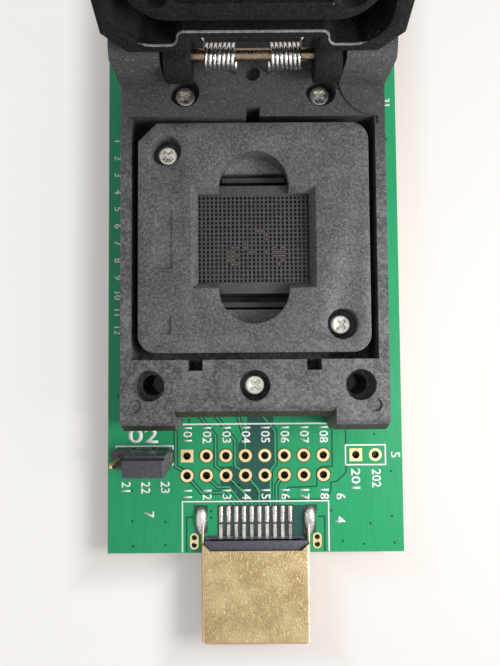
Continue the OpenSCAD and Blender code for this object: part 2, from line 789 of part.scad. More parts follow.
// Slots in the cavity's front and rear walls
module key_notches() {
  edge = cavity_w / 2;
  for (side = [-1, 1]) translate([side * front_key_x, 0, 0])
    block(-front_key_w / 2, front_key_w / 2, -edge - front_key_d, -edge + past, cavity_floor, base_h + past);
  block(-rear_key_w / 2, rear_key_w / 2, edge - past, edge + rear_key_d, cavity_floor, base_h + past);
}

// ---- contacts ----

grid_side = 0.45;
grid_end = 1.25;
grid_w = grid_columns * grid_pitch + 2 * grid_side;
grid_d = grid_rows * grid_pitch + 2 * grid_end;
grid_z = contact_top - grid_t;
probe_sink = 0.1;
probe_tip_h = 0.12;
probe_tip_d = 0.1;
boss_side = 1;
boss_w = grid_w + 2 * boss_side;
boss_d = grid_d + 2 * finger_step;
rail_w = 2 * (finger_r - slide_clear);
rail_t = 0.6;
rail_z = finger_floor - 0.6;
// The flange under the base clears the guide plate's screws
flange_side = 0.1;
flange_wall = 0.7;
flange_w = 2 * (guide_screw_at - flange_side);
flange_d = 2 * (guide_screw_at - screw_d / 2 - flange_wall);

// Runs of fitted contacts: row from the rear, first column, how many
contact_runs = [[8, 13, 2], [9, 15, 1], [10, 15, 1], [11, 10, 1], [12, 7, 2], [12, 10, 1], [12, 17, 1],
  [12, 19, 1], [13, 6, 2], [13, 11, 2], [13, 15, 1], [13, 17, 3], [14, 6, 3], [14, 17, 3], [15, 6, 2],
  [15, 19, 1], [16, 7, 2], [16, 18, 1]];
contact_sites = [for (run = contact_runs, k = [0 : run[2] - 1])
  [(run[1] + k + 1 - 13) * grid_pitch, (10 - run[0]) * grid_pitch]];

module contact_block() {
  placed() color([0.1, 0.1, 0.11]) difference() {
    union() {
      block(-flange_w / 2, flange_w / 2, -flange_d / 2, flange_d / 2, 0, flange_t);
      block(-boss_w / 2, boss_w / 2, -boss_d / 2, boss_d / 2, 0, cavity_floor);
      block(-grid_w / 2, grid_w / 2, -grid_d / 2, grid_d / 2, 0, grid_z);
      // low rails in front of and behind the raised contacts
      for (side = [0, 180]) rotate(side)
        block(-rail_w / 2, rail_w / 2, boss_d / 2 - rail_t, boss_d / 2, 0, rail_z);
    }
    for (s = contact_sites) post(s, probe_d + run_clear, -past, grid_z + past);
  }
}

module contact_grid() {
  placed() color([0.12, 0.12, 0.13]) translate([0, 0, grid_z]) linear_extrude(grid_t) difference() {
    square([grid_w, grid_d], center = true);
    for (i = [0 : grid_columns - 1], j = [0 : grid_rows - 1])
      translate([(i - (grid_columns - 1) / 2) * grid_pitch, (j - (grid_rows - 1) / 2) * grid_pitch])
        square([grid_hole, grid_hole_d], center = true);
  }
}

module contact_pins() {
  placed() color(gold) for (s = contact_sites) {
    post(s, probe_d, 0, contact_top - probe_sink);
    translate([s[0], s[1], contact_top - probe_sink])
      cylinder(h = probe_tip_h, d1 = probe_d, d2 = probe_tip_d);
  }
}

// ---- guide plate ----

guide_bottom = guide_top - guide_t;
guide_seat = guide_top - guide_head_depth - screw_head_h;
pocket_floor = contact_top + guide_travel + seat_clear;

// Square outline with three round corners and one bevelled key corner
module guide_outline() {
  h = guide_w / 2;
  r = guide_corner_r;
  difference() {
    square(guide_w, center = true);
    for (c = [[1, 1], [1, -1], [-1, -1]]) difference() {
      translate([c[0] * (h - r / 2 + past / 2), c[1] * (h - r / 2 + past / 2)]) square(r + past, center = true);
      translate([c[0] * (h - r), c[1] * (h - r)]) circle(r);
    }
    polygon([[-h - past, h - guide_key - past], [-h + guide_key + past, h + past], [-h - past, h + past]]);
  }
}

module guide_plate() {
  room_w = grid_w / 2 + slide_clear;
  room_d = grid_d / 2 + slide_clear;
  top_w = pocket_w + 2 * pocket_lead;
  top_d = pocket_d + 2 * pocket_lead;
  reach = grid_d / 2 + slide_clear + finger_step;
  mark = guide_w / 2 - mark_inset;
  placed() color([0.15, 0.15, 0.16]) difference() {
    translate([0, 0, guide_bottom]) linear_extrude(guide_t) guide_outline();
    // hollow underneath that clears the raised contacts
    block(-room_w, room_w, -room_d, room_d, guide_bottom - past, pocket_floor);
    // and the rails before and behind them
    block(-finger_r, finger_r, -reach, reach, guide_bottom - past, finger_floor + past);
    lead_in(pocket_w, pocket_d, pocket_floor - 0.01, top_w, top_d, guide_top);
    block(-top_w / 2, top_w / 2, -top_d / 2, top_d / 2, guide_top, guide_top + past);
    for (sy = [-1, 1]) post([0, sy * top_d / 2], 2 * finger_r, finger_floor, guide_top + past);
    for (s = guide_screw_sites) {
      post(s, screw_d + 2 * slip_clear, guide_bottom - past, guide_top + past);
      post(s, counterbore_d, guide_seat - seat_clear, guide_top + past);
    }
    // spring pockets from below
    for (s = guide_spring_sites)
      post(s, guide_spring_d + 2 * spring_clear, guide_bottom - past, guide_bottom + guide_pocket);
    // bare shallow panel and orientation mark
    translate([-guide_w / 2 + panel_inset, -panel_d / 2 - panel_shift, guide_top - panel_sink])
      cube([panel_w, panel_d, past]);
    translate([-mark - mark_shift, -mark, guide_top - mark_depth]) linear_extrude(past)
      polygon([[-mark_r, -mark_r], [mark_r, -mark_r], [mark_r, mark_r]]);
  }
}
guide_pocket = 2;
panel_inset = 2.0;
panel_w = 2;
panel_d = 6.9;
panel_shift = 0.25;
panel_sink = 0.2;
mark_inset = 3.3;
mark_depth = 0.25;
mark_shift = 0.5;
mark_r = 1.05;

module guide_screws() {
  placed() color(steel) for (s = guide_screw_sites) translate([s[0], s[1], guide_seat])
    screw(guide_seat - 0.7);
}

module guide_springs() {
  placed() color(steel) for (s = guide_spring_sites) translate([s[0], s[1], cavity_floor])
    compression_spring(guide_spring_d - guide_wire_d, guide_wire_d, guide_bottom + guide_pocket - cavity_floor, 5);
}

// ---- fasteners of the base ----

module base_screws() {
  placed() color(steel) for (s = screw_sites) translate([s[0], s[1], head_seat])
    screw(head_seat - rest_z);
}

module base_nuts() {
  placed() color(steel) for (s = screw_sites) translate([s[0], s[1], rest_z]) difference() {
    cylinder(h = board_bottom - rest_z, d = nut_w / cos(30), $fn = 6);
    translate([0, 0, -past]) cylinder(h = shell_top + 2 * past, d = screw_d + 2 * thread_clear);
  }
}

// ---- hinge ----

module hinge_pin() {
  placed() color([0.6, 0.5, 0.38]) translate([-base_w / 2 + 0.3, hinge_y, hinge_z]) rotate([0, 90, 0])
    cylinder(h = base_w - 0.6, d = hinge_pin_d);
}

lid_spring_sag = lid_spring_d / 2 - lid_wire_d / 2 - hinge_pin_d / 2 - 0.03;
spring_in = 1.75 + lid_wire_d / 2;
foot_clear = 0.02;

// One leg that stands on the base's deck, coils round the pin, one leg up behind the lid
module lid_spring() {
  r = lid_spring_d / 2;
  turns = lid_spring_coils + 0.25;
  floor = base_h - deck_sink + foot_clear - (hinge_z - lid_spring_sag);
  coil = coil_x(r, lid_spring_pitch, turns, -90, lid_spring_coils * 20 + 5);
  last = coil[len(coil) - 1];
  route = concat([[0, -lid_wire_d, floor], [0, -lid_wire_d, -r - lid_wire_d]], coil,
    [[last[0], r - 0.02, 1.0], [last[0], r - 0.15, 2.3]]);
  translate([spring_in, hinge_y, hinge_z - lid_spring_sag]) wire(route, lid_wire_d / 2, 8, [1, 0, 0]);
}

module lid_spring_right() {
  placed() color(steel) lid_spring();
}

module lid_spring_left() {
  placed() color(steel) mirror([1, 0, 0]) lid_spring();
}

// ---- lid ----

lid_half = base_w / 2;
cavity_front = -lid_cavity_w / 2;
cavity_rear = lid_rear - 0.9;
lip_set = 1.7;
pillar_d = 4;
pillar_clear = 0.2;
lip_in = 7.9;

// Plan of the lid's inner opening: round corners, and a thicker rear wall in the middle
module lid_opening() {
  r = 3.5;
  w = lid_cavity_w / 2;
  difference() {
    translate([0, (cavity_front + cavity_rear) / 2]) rounded(2 * w, cavity_rear - cavity_front, r);
    translate([-lip_in, cavity_rear - lip_set / 2]) square([2 * lip_in, lip_set / 2 + past]);
    // inner half of the S: a round edge on the thicker wall
    translate([-lip_in + lip_set / 2, cavity_rear - lip_set]) square([2 * lip_in - lip_set, lip_set]);
    for (sx = [-1, 1]) translate([sx * (lip_in - lip_set / 2), cavity_rear - lip_set / 2]) circle(lip_set / 2);
    for (sx = [-1, 1]) {
      // outer half of the S: a quarter round out of the corner
      translate([sx * lip_in, cavity_rear]) difference() {
        translate([-lip_set / 2, -lip_set / 2]) square([lip_set, lip_set / 2 + past]);
        translate([sx * lip_set / 2, -lip_set / 2]) circle(lip_set / 2);
      }
    }
  }
}

module lid_plan() {
  b = lid_corner_bevel;
  polygon([[-lid_half, -lid_front], [lid_half, -lid_front], [lid_half, lid_rear - b], [lid_half - b, lid_rear],
    [-lid_half + b, lid_rear], [-lid_half, lid_rear - b]]);
}

// Side view of a lid knuckle: round over the pin, a web to the lid, and a heel that stops the open lid
module knuckle_side() {
  heel = hinge_z - heel_z;
  translate([hinge_y, hinge_z]) {
    circle(heel);
    rotate(lid_open_angle) translate([0, -heel]) square([heel, heel]);
  }
  translate([lid_rear - past, hinge_z - 1.6]) square([hinge_y - lid_rear + past, 4.2]);
}

module lid_frame() {
  b = lid_bevel;
  lid_pose() color(plastic) {
    difference() {
      union() {
        intersection() {
          translate([0, 0, rim_z]) linear_extrude(lid_t) lid_plan();
          across(-lid_half, lid_half) polygon([[-lid_front, rim_z], [lid_rear, rim_z], [lid_rear, lid_top - b],
            [lid_rear - b, lid_top], [-lid_front + b, lid_top], [-lid_front, lid_top - b]]);
          along(-lid_front, lid_rear) polygon([[-lid_half, rim_z], [lid_half, rim_z], [lid_half, lid_top - b],
            [lid_half - b, lid_top], [-lid_half + b, lid_top], [-lid_half, lid_top - b]]);
        }
        mirrored() across(knuckle_in, knuckle_out) knuckle_side();
      }
      difference() {
        translate([0, 0, rim_z - past]) linear_extrude(roof_z - rim_z + past) lid_opening();
        for (s = press_screw_sites) post(s, pillar_d, press_back + press_travel + pillar_clear, roof_z + past);
      }
      for (s = press_screw_sites) post(s, screw_d + 2 * thread_clear, press_back, lid_top - 0.6);
      // latch notch in the front wall, and the bore of the latch pin
      block(-notch_w / 2, notch_w / 2, -lid_front - past, notch_wall, rim_z - past, lid_top + past);
      translate([-latch_pin_reach, latch_y, latch_z]) rotate([0, 90, 0])
        cylinder(h = 2 * latch_pin_reach, d = latch_pin_d + 2 * run_clear);
      // bay for the springs between the knuckles
      block(-knuckle_in, knuckle_in, lid_rear - spring_bay, lid_rear + past, rim_z - past, lid_top + past);
      translate([-lid_half, hinge_y, hinge_z]) rotate([0, 90, 0])
        cylinder(h = base_w, d = hinge_pin_d + 2 * run_clear);
    }
  }
}
latch_pin_reach = notch_w / 2 + 2.4;

module pressure_plate() {
  lid_pose() color([0.17, 0.17, 0.18]) difference() {
    union() {
      translate([0, 0, press_face]) linear_extrude(press_t) rounded(press_w, press_w, press_corner_r);
      lead_in(pocket_w - 1.0, pocket_d - 1.0, pusher_face, pocket_w - 0.2, pocket_d - 0.2, press_face + 0.2);
    }
    for (s = press_screw_sites) {
      post(s, screw_d + 2 * slip_clear, press_face - past, press_back + past);
      post(s, screw_head_d + 0.6, press_face - past, press_seat + seat_clear);
    }
    for (s = press_spring_sites)
      post(s, press_spring_d + 2 * spring_clear, press_back - press_pocket, press_back + past);
    // shallow round-cornered channel round the pusher
    translate([0, 0, press_face - past]) linear_extrude(past + 0.5) difference() {
      rounded(press_w - 4, press_w - 4, press_corner_r - 1.2);
      rounded(pocket_w + 2.4, pocket_d + 2.4, 1.5);
      for (s = press_screw_sites) translate(s) circle(d = screw_head_d + 2);
    }
  }
}
press_seat = press_back - 0.7;
press_pocket = 1;

module pressure_screws() {
  lid_pose() color(steel) for (s = press_screw_sites) translate([s[0], s[1], press_seat])
    mirror([0, 0, 1]) screw(lid_top - 0.7 - press_seat);
}

module pressure_springs() {
  lid_pose() color(steel) for (s = press_spring_sites) translate([s[0], s[1], press_back - press_pocket])
    compression_spring(press_spring_d - press_wire_d, press_wire_d, roof_z - press_back + press_pocket, 5);
}

// ---- latch ----

// Side view of the latch: thumb pad, pin boss, arm and hook
module latch_side() {
  nose = notch_front + 0.85;
  back = latch_y + 1.3;
  polygon([[arm_out, hook_z - 1.9], [nose - 0.3, hook_z - 1.9], [nose, hook_z - 0.9], [nose, hook_z],
    [arm_in, hook_z], [arm_in, latch_z - 1.8], [back, latch_z - 1.8], [back, latch_z + 1.7],
    [latch_y - 0.4, lid_top - 0.8], [pad_tip_y, lid_top], [pad_tip_y - 0.3, lid_top - 1], [arm_out, latch_z + 0.3]]);
}

module latch() {
  half = latch_w / 2;
  slot = 1.7;
  lid_pose() color(plastic) difference() {
    across(-half, half) latch_side();
    // room for the spring on the pin
    block(-slot, slot, arm_in, latch_y + 2, latch_z - 2, latch_z + 1.9);
    translate([-half - past, latch_y, latch_z]) rotate([0, 90, 0])
      cylinder(h = latch_w + 2 * past, d = latch_pin_d + 2 * run_clear);
    // two grip grooves across the thumb pad
    for (k = [0, 1]) translate([0, arm_out + 0.1 + 0.75 * k, lid_top - 0.5 - 0.14 * k])
      block(-half + 1, half - 1, -0.15, 0.15, 0, past);
  }
}

module latch_pin() {
  lid_pose() color(steel) translate([-latch_pin_reach + 0.1, latch_y, latch_z]) rotate([0, 90, 0])
    cylinder(h = 2 * latch_pin_reach - 0.2, d = latch_pin_d);
}

module latch_spring() {
  turns = 4.25;
  r = 0.95;
  coil = coil_x(r, 0.4, turns, 90, 60);
  last = coil[len(coil) - 1];
  route = concat([[0, 1.5, r + 0.1]], coil, [[last[0], -r, -1.2]]);
  lid_pose() color(steel) translate([-0.8, latch_y, latch_z]) wire(route, 0.15, 6, [1, 0, 0]);
}

circuit_board();
plated_holes();
plug_shell();
plug_insulator();
plug_contacts_upper();
plug_contacts_lower();
solder_joints();
header_body();
header_pins();
jumper_cap();
jumper_clip();
socket_base();
contact_block();
contact_grid();
contact_pins();
guide_plate();
guide_screws();
guide_springs();
base_screws();
base_nuts();
hinge_pin();
lid_spring_left();
lid_spring_right();
lid_frame();
pressure_plate();
pressure_springs();
pressure_screws();
latch();
latch_pin();
latch_spring();
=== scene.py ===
"""Looks of an open clamshell chip test socket that is screwed to its adapter board.

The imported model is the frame: every piece here copies, covers or sits on one of its nodes.
Lengths are metres, and MM turns millimetres into metres.
"""

import logging
import math
from dataclasses import dataclass, field
from enum import Enum
from typing import Any, Callable, Iterable, Sequence

import bmesh
import bpy
from mathutils import Euler, Matrix, Vector

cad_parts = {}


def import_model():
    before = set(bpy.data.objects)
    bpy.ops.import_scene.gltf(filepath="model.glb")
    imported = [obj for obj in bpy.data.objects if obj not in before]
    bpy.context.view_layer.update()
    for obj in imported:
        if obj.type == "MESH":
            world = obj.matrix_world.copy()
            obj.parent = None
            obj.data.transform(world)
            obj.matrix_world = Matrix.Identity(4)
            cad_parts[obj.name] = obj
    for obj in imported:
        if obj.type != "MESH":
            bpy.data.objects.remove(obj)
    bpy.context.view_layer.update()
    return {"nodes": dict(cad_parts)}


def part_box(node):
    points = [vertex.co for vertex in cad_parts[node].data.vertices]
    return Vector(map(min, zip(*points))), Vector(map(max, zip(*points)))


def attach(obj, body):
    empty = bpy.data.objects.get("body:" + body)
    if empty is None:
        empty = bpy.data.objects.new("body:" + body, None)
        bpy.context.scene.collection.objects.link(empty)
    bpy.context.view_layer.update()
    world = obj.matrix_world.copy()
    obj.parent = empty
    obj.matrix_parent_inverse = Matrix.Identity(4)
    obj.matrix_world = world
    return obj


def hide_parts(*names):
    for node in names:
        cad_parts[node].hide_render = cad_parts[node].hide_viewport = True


LOG = logging.getLogger("test_socket")
MM = 0.001
Colour = tuple[float, float, float]
Point2 = tuple[float, float]
Point3 = tuple[float, float, float]
EDGE_LAYER = "edge_wear"
FONT_PER_DIGIT = 1.42
MERGE = 0.002 * MM


class Body(str, Enum):
    """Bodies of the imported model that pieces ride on."""

    SOCKET = "socket"
    GUIDE = "floating_guide"
    LID = "lid"
    PRESSER = "presser"
    LATCH = "latch_lever"
    JUMPER = "jumper"


class Slot(str, Enum):
    """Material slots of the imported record."""

    BOARD = "board"
    GOLD = "gold_plating"
    PLUG_GOLD = "plug_gold"
    NYLON = "black_nylon"
    SOLDER = "solder"
    JUMPER = "jumper_plastic"
    SOCKET = "socket_plastic"
    GUIDE = "guide_plastic"
    SCREW = "screw_steel"
    SPRING = "spring_steel"
    PIN = "pin_steel"


# ---------------------------------------------------------------- shader nodes


class Nodes:
    """Adds and joins the nodes of one tree."""

    def __init__(self, tree: bpy.types.NodeTree) -> None:
        """Empties the tree.

        Args:
            tree: The material's or group's node tree.
        """
        self.tree = tree
        tree.nodes.clear()

    def add(self, kind: str, values: dict[str, Any] | None = None, **settings: Any) -> bpy.types.Node:
        """Adds a node.

        Args:
            kind: Blender's name of the node type.
            values: Input names with a plain value or with the socket that feeds them.
            settings: Attributes of the node.

        Returns:
            The new node.
        """
        node = self.tree.nodes.new(kind)
        for name, value in settings.items():
            setattr(node, name, value)
        for name, value in (values or {}).items():
            self.feed(node.inputs[name], value)
        return node

    def feed(self, socket: bpy.types.NodeSocket, value: Any) -> None:
        """Sets an input to a value, or links it to an output socket."""
        if isinstance(value, bpy.types.NodeSocket):
            self.tree.links.new(value, socket)
        elif socket.type == "RGBA" and len(value) == 3:
            socket.default_value = (*value, 1.0)
        else:
            socket.default_value = value

    def maths(self, operation: str, a: Any, b: Any = 0.0, clamp: bool = False) -> bpy.types.NodeSocket:
        """Joins two values by a Math node and returns its output."""
        node = self.add("ShaderNodeMath", operation=operation, use_clamp=clamp)
        self.feed(node.inputs[0], a)
        self.feed(node.inputs[1], b)
        return node.outputs[0]

    def ramp(self, value: Any, low: float, high: float, to_low: float = 0.0,
             to_high: float = 1.0) -> bpy.types.NodeSocket:
        """Maps low..high smoothly to to_low..to_high and returns the output socket."""
        node = self.add("ShaderNodeMapRange", interpolation_type="SMOOTHSTEP")
        for index, item in enumerate((value, low, high, to_low, to_high)):
            self.feed(node.inputs[index], item)
        return node.outputs[0]

    def blend(self, share: Any, first: Any, second: Any) -> bpy.types.NodeSocket:
        """Mixes two colours by a share and returns the mixed colour."""
        node = self.add("ShaderNodeMix", data_type="RGBA")
        self.feed(node.inputs["Factor"], share)
        self.feed(node.inputs[6], first)
        self.feed(node.inputs[7], second)
        return node.outputs[2]

    def noise(self, vector: Any, scale: float, detail: float = 4.0, rough: float = 0.5,
              twist: float = 0.0) -> bpy.types.NodeSocket:
        """Adds a noise texture and returns its value."""
        values = {"Vector": vector, "Scale": scale, "Detail": detail, "Roughness": rough, "Distortion": twist}
        return self.add("ShaderNodeTexNoise", values).outputs[0]

    def stretch(self, vector: Any, scale: Point3, turn: Point3 = (0.0, 0.0, 0.0)) -> bpy.types.NodeSocket:
        """Scales and turns a vector by a Mapping node."""
        return self.add("ShaderNodeMapping", {"Vector": vector, "Scale": scale, "Rotation": turn}).outputs[0]

    def scaled(self, vector: Any, factor: Any) -> bpy.types.NodeSocket:
        """Multiplies a vector by a factor."""
        node = self.add("ShaderNodeVectorMath", operation="SCALE")
        self.feed(node.inputs[0], vector)
        self.feed(node.inputs["Scale"], factor)
        return node.outputs[0]

    def axis(self, vector: Any, name: str) -> bpy.types.NodeSocket:
        """Takes one axis out of a vector."""
        return self.add("ShaderNodeSeparateXYZ", {"Vector": vector}).outputs[name]

    def group(self, tree: bpy.types.NodeTree, values: dict[str, Any]) -> bpy.types.Node:
        """Places a node group with its own values."""
        return self.add("ShaderNodeGroup", values, node_tree=tree)

    def mix_shaders(self, share: Any, first: bpy.types.Node, second: bpy.types.Node) -> bpy.types.NodeSocket:
        """Mixes two shader nodes by a share and returns the mixed surface."""
        node = self.add("ShaderNodeMixShader", {"Fac": share})
        self.feed(node.inputs[1], first.outputs[0])
        self.feed(node.inputs[2], second.outputs[0])
        return node.outputs[0]


class Coat(Nodes):
    """The nodes of one material, from its Object coordinates to its Principled shader.

    Attributes:
        material: The material.
        shader: Its Principled shader.
        where: Its Object coordinates.
    """

    def __init__(self, name: str) -> None:
        """Starts a material.

        Args:
            name: Name of the material.
        """
        self.material = bpy.data.materials.new(name)
        self.material.use_nodes = True
        super().__init__(self.material.node_tree)
        self.shader = self.add("ShaderNodeBsdfPrincipled")
        self.add("ShaderNodeOutputMaterial", {"Surface": self.shader.outputs[0]})
        self.where = self.add("ShaderNodeTexCoord").outputs["Object"]

    def bump(self, height: Any, strength: float, distance: float) -> bpy.types.NodeSocket:
        """Turns a height into a normal."""
        values = {"Height": height, "Strength": strength, "Distance": distance}
        return self.add("ShaderNodeBump", values).outputs[0]

    def finish(self, values: dict[str, Any]) -> bpy.types.Material:
        """Feeds the shader's inputs by name and returns the material."""
        for name, value in values.items():
            self.feed(self.shader.inputs[name], value)
        return self.material


def new_group(name: str, inputs: dict[str, float], outputs: Sequence[str],
              fill: Callable[[Nodes, Any, Any], None]) -> bpy.types.NodeTree:
    """Builds a shader node group that has a vector input besides its numbers.

    Args:
        name: Name of the group.
        inputs: Names and defaults of the numbers that it takes.
        outputs: Names of the numbers that it gives.
        fill: Function that adds the nodes between the group's input and output.

    Returns:
        The group's tree.
    """
    tree = bpy.data.node_groups.new(name, "ShaderNodeTree")
    sockets = tree.interface
    sockets.new_socket(name="Vector", in_out="INPUT", socket_type="NodeSocketVector")
    for title, default in inputs.items():
        socket = sockets.new_socket(name=title, in_out="INPUT", socket_type="NodeSocketFloat")
        socket.default_value = default
    for title in outputs:
        sockets.new_socket(name=title, in_out="OUTPUT", socket_type="NodeSocketFloat")
    nodes = Nodes(tree)
    fill(nodes, nodes.add("NodeGroupInput"), nodes.add("NodeGroupOutput"))
    return tree


@dataclass
class Effects:
    """Shared shader effects, each a node group that is built once."""

    mottle: bpy.types.NodeTree = field(init=False)
    wear: bpy.types.NodeTree = field(init=False)
    scratches: bpy.types.NodeTree = field(init=False)
    dust: bpy.types.NodeTree = field(init=False)
    weave: bpy.types.NodeTree = field(init=False)

    def __post_init__(self) -> None:
        """Builds the groups."""
        self.mottle = new_group("fibre_mottle", {"Size": 1.0, "Swirl": 1.5}, ("Cloud", "Grain", "Fleck"),
                                self._fill_mottle)
        self.wear = new_group("edge_wear", {"Edge": 0.0, "Amount": 0.5}, ("Mask",), self._fill_wear)
        self.scratches = new_group("fine_scratches", {"Density": 1.0}, ("Mask", "Height"),
                                   self._fill_scratches)
        self.dust = new_group("dust", {"Amount": 0.3}, ("Mask",), self._fill_dust)
        self.weave = new_group("cloth_weave", {"Pitch": 1.0}, ("Height",), self._fill_weave)

    @staticmethod
    def _fill_mottle(n: Nodes, source: Any, sink: Any) -> None:
        """Clouds, grain and pale flecks of glass-filled plastic."""
        where = n.scaled(source.outputs["Vector"], source.outputs["Size"])
        cloud = n.add("ShaderNodeTexNoise", {"Vector": where, "Scale": 170.0, "Detail": 5.0,
                                             "Roughness": 0.62, "Distortion": source.outputs["Swirl"]})
        grain = n.noise(where, 2600.0, 4.0, 0.7)
        fleck = n.noise(where, 5200.0, 3.0, 0.6)
        n.feed(sink.inputs["Cloud"], n.ramp(cloud.outputs[0], 0.36, 0.66))
        n.feed(sink.inputs["Grain"], n.ramp(grain, 0.38, 0.64))
        n.feed(sink.inputs["Fleck"], n.ramp(fleck, 0.56, 0.74))

    @staticmethod
    def _fill_wear(n: Nodes, source: Any, sink: Any) -> None:
        """Rubbed places along marked edges."""
        patches = n.ramp(n.noise(source.outputs["Vector"], 420.0, 5.0, 0.7), 0.36, 0.62)
        rubbed = n.maths("MULTIPLY", patches, source.outputs["Edge"])
        n.feed(sink.inputs["Mask"], n.maths("MULTIPLY", rubbed, source.outputs["Amount"], clamp=True))

    @staticmethod
    def _fill_scratches(n: Nodes, source: Any, sink: Any) -> None:
        """Short fine scratches in two directions."""
        where = n.scaled(source.outputs["Vector"], source.outputs["Density"])
        one = n.noise(n.stretch(where, (4200.0, 1100.0, 1500.0), (0.0, 0.0, 0.55)), 1.0, 2.0)
        two = n.noise(n.stretch(where, (3600.0, 1000.0, 1400.0), (0.0, 0.0, -0.75)), 1.0, 2.0)
        both = n.maths("MAXIMUM", one, two)
        n.feed(sink.inputs["Mask"], n.ramp(both, 0.60, 0.72))
        n.feed(sink.inputs["Height"], both)

    @staticmethod
    def _fill_dust(n: Nodes, source: Any, sink: Any) -> None:
        """Scattered specks of dust."""
        cells = n.add("ShaderNodeTexVoronoi", {"Vector": source.outputs["Vector"], "Scale": 900.0})
        size = n.noise(source.outputs["Vector"], 260.0, 2.0)
        near = n.ramp(cells.outputs["Distance"], 0.10, 0.02)
        some = n.ramp(size, 0.55, 0.62)
        mask = n.maths("MULTIPLY", near, some)
        n.feed(sink.inputs["Mask"], n.maths("MULTIPLY", mask, source.outputs["Amount"]))

    @staticmethod
    def _fill_weave(n: Nodes, source: Any, sink: Any) -> None:
        """Crossed threads of the board's glass cloth."""
        where = n.scaled(source.outputs["Vector"], source.outputs["Pitch"])
        threads = [n.add("ShaderNodeTexWave", {"Vector": where, "Scale": 900.0, "Distortion": 1.0},
                         wave_type="BANDS", bands_direction=direction).outputs["Fac"]
                   for direction in ("X", "Y")]
        n.feed(sink.inputs["Height"], n.maths("MULTIPLY", *threads))

    def spots(self, n: Coat, size: float, swirl: float = 1.5) -> tuple[bpy.types.NodeSocket, ...]:
        """Gives the cloud, the grain and the flecks of the mottle."""
        return tuple(n.group(self.mottle, {"Vector": n.where, "Size": size, "Swirl": swirl}).outputs)

    def lines(self, n: Coat, density: float) -> tuple[bpy.types.NodeSocket, ...]:
        """Gives the mask and the height of fine scratches."""
        return tuple(n.group(self.scratches, {"Vector": n.where, "Density": density}).outputs)

    def rub(self, n: Coat, colour: Any, pale: Colour, amount: float) -> bpy.types.NodeSocket:
        """Rubs a colour pale along the edges that a bevel has marked."""
        edge = n.add("ShaderNodeAttribute", attribute_name=EDGE_LAYER).outputs["Fac"]
        rubbed = n.group(self.wear, {"Vector": n.where, "Edge": edge, "Amount": amount})
        return n.blend(rubbed.outputs["Mask"], colour, pale)

    def soil(self, n: Coat, colour: Any, mote: Colour, amount: float = 0.5) -> bpy.types.NodeSocket:
        """Scatters specks of dust over a colour."""
        motes = n.group(self.dust, {"Vector": n.where, "Amount": amount})
        return n.blend(motes.outputs["Mask"], colour, mote)


@dataclass(frozen=True)
class MottledPlastic:
    """Black glass-filled plastic with grey clouds, flecks and rubbed edges, and a painted shade that can
    darken it towards the rear.

    Attributes:
        name: Name of the material.
        dark: Colour of the plain plastic.
        pale: Colour of the clouds and grain.
        fleck: Colour of the flecks and of rubbed edges.
        size: Scale of the pattern, where more is finer.
        clouds: Strength of the clouds.
        flecks: Strength of the flecks.
        rough: Middle roughness.
        wear: Strength of the rubbed edges.
        relief: Strength of the bump.
        sheen: Level of the mirror-like shine.
        shade_at_rear: Share of the pattern that is left at the rear.
        shade_at_rear_along: Places along Y between which the pattern fades.
    """

    name: str
    dark: Colour
    pale: Colour
    fleck: Colour
    size: float = 1.0
    clouds: float = 0.8
    flecks: float = 0.5
    rough: float = 0.5
    wear: float = 0.7
    relief: float = 0.25
    sheen: float = 0.4
    shade_at_rear: float = 1.0
    shade_at_rear_along: Point2 = (12.0 * MM, 19.0 * MM)

    def make(self, fx: Effects) -> bpy.types.Material:
        """Builds the material."""
        n = Coat(self.name)
        cloud, grain, fleck = fx.spots(n, self.size)
        cloud = n.maths("MULTIPLY", n.maths("MULTIPLY", cloud, self.clouds), 0.4)
        tone = n.maths("ADD", cloud, n.maths("MULTIPLY", grain, 0.6))
        # Painted shade: towards the rear the clouds and grain give way to the plain dark plastic, darkening
        # the rear deck.
        tone = n.maths("MULTIPLY", tone, n.ramp(n.axis(n.where, "Y"), *self.shade_at_rear_along, 1.0, self.shade_at_rear))
        flecks = n.maths("MULTIPLY", fleck, n.maths("MULTIPLY", grain, self.flecks))
        colour = n.blend(flecks, n.blend(tone, self.dark, self.pale), self.fleck)
        colour = fx.soil(n, fx.rub(n, colour, self.fleck, self.wear), (0.55, 0.55, 0.53))
        height = n.maths("ADD", grain, n.maths("MULTIPLY", fleck, 0.6))
        return n.finish({"Base Color": colour, "Specular IOR Level": self.sheen,
                         "Roughness": n.ramp(tone, 0.0, 1.0, self.rough + 0.1, self.rough - 0.08),
                         "Normal": n.bump(height, self.relief, 0.04 * MM)})


@dataclass(frozen=True)
class MouldedNylon:
    """Plain dark moulded plastic with a soft sheen."""

    name: str
    base: Colour
    pale: Colour
    rough: float = 0.4
    wear: float = 0.4

    def make(self, fx: Effects) -> bpy.types.Material:
        """Builds the material."""
        n = Coat(self.name)
        cloud, grain, _ = fx.spots(n, 2.2, 0.4)
        scratched, _ = fx.lines(n, 0.8)
        colour = n.blend(n.maths("MULTIPLY", grain, 0.5), self.base, self.pale)
        colour = fx.rub(n, colour, self.pale, self.wear)
        return n.finish({"Base Color": n.blend(n.maths("MULTIPLY", scratched, 0.25), colour, self.pale),
                         "Roughness": n.ramp(cloud, 0.0, 1.0, self.rough - 0.06, self.rough + 0.1),
                         "Normal": n.bump(grain, 0.12, 0.03 * MM)})


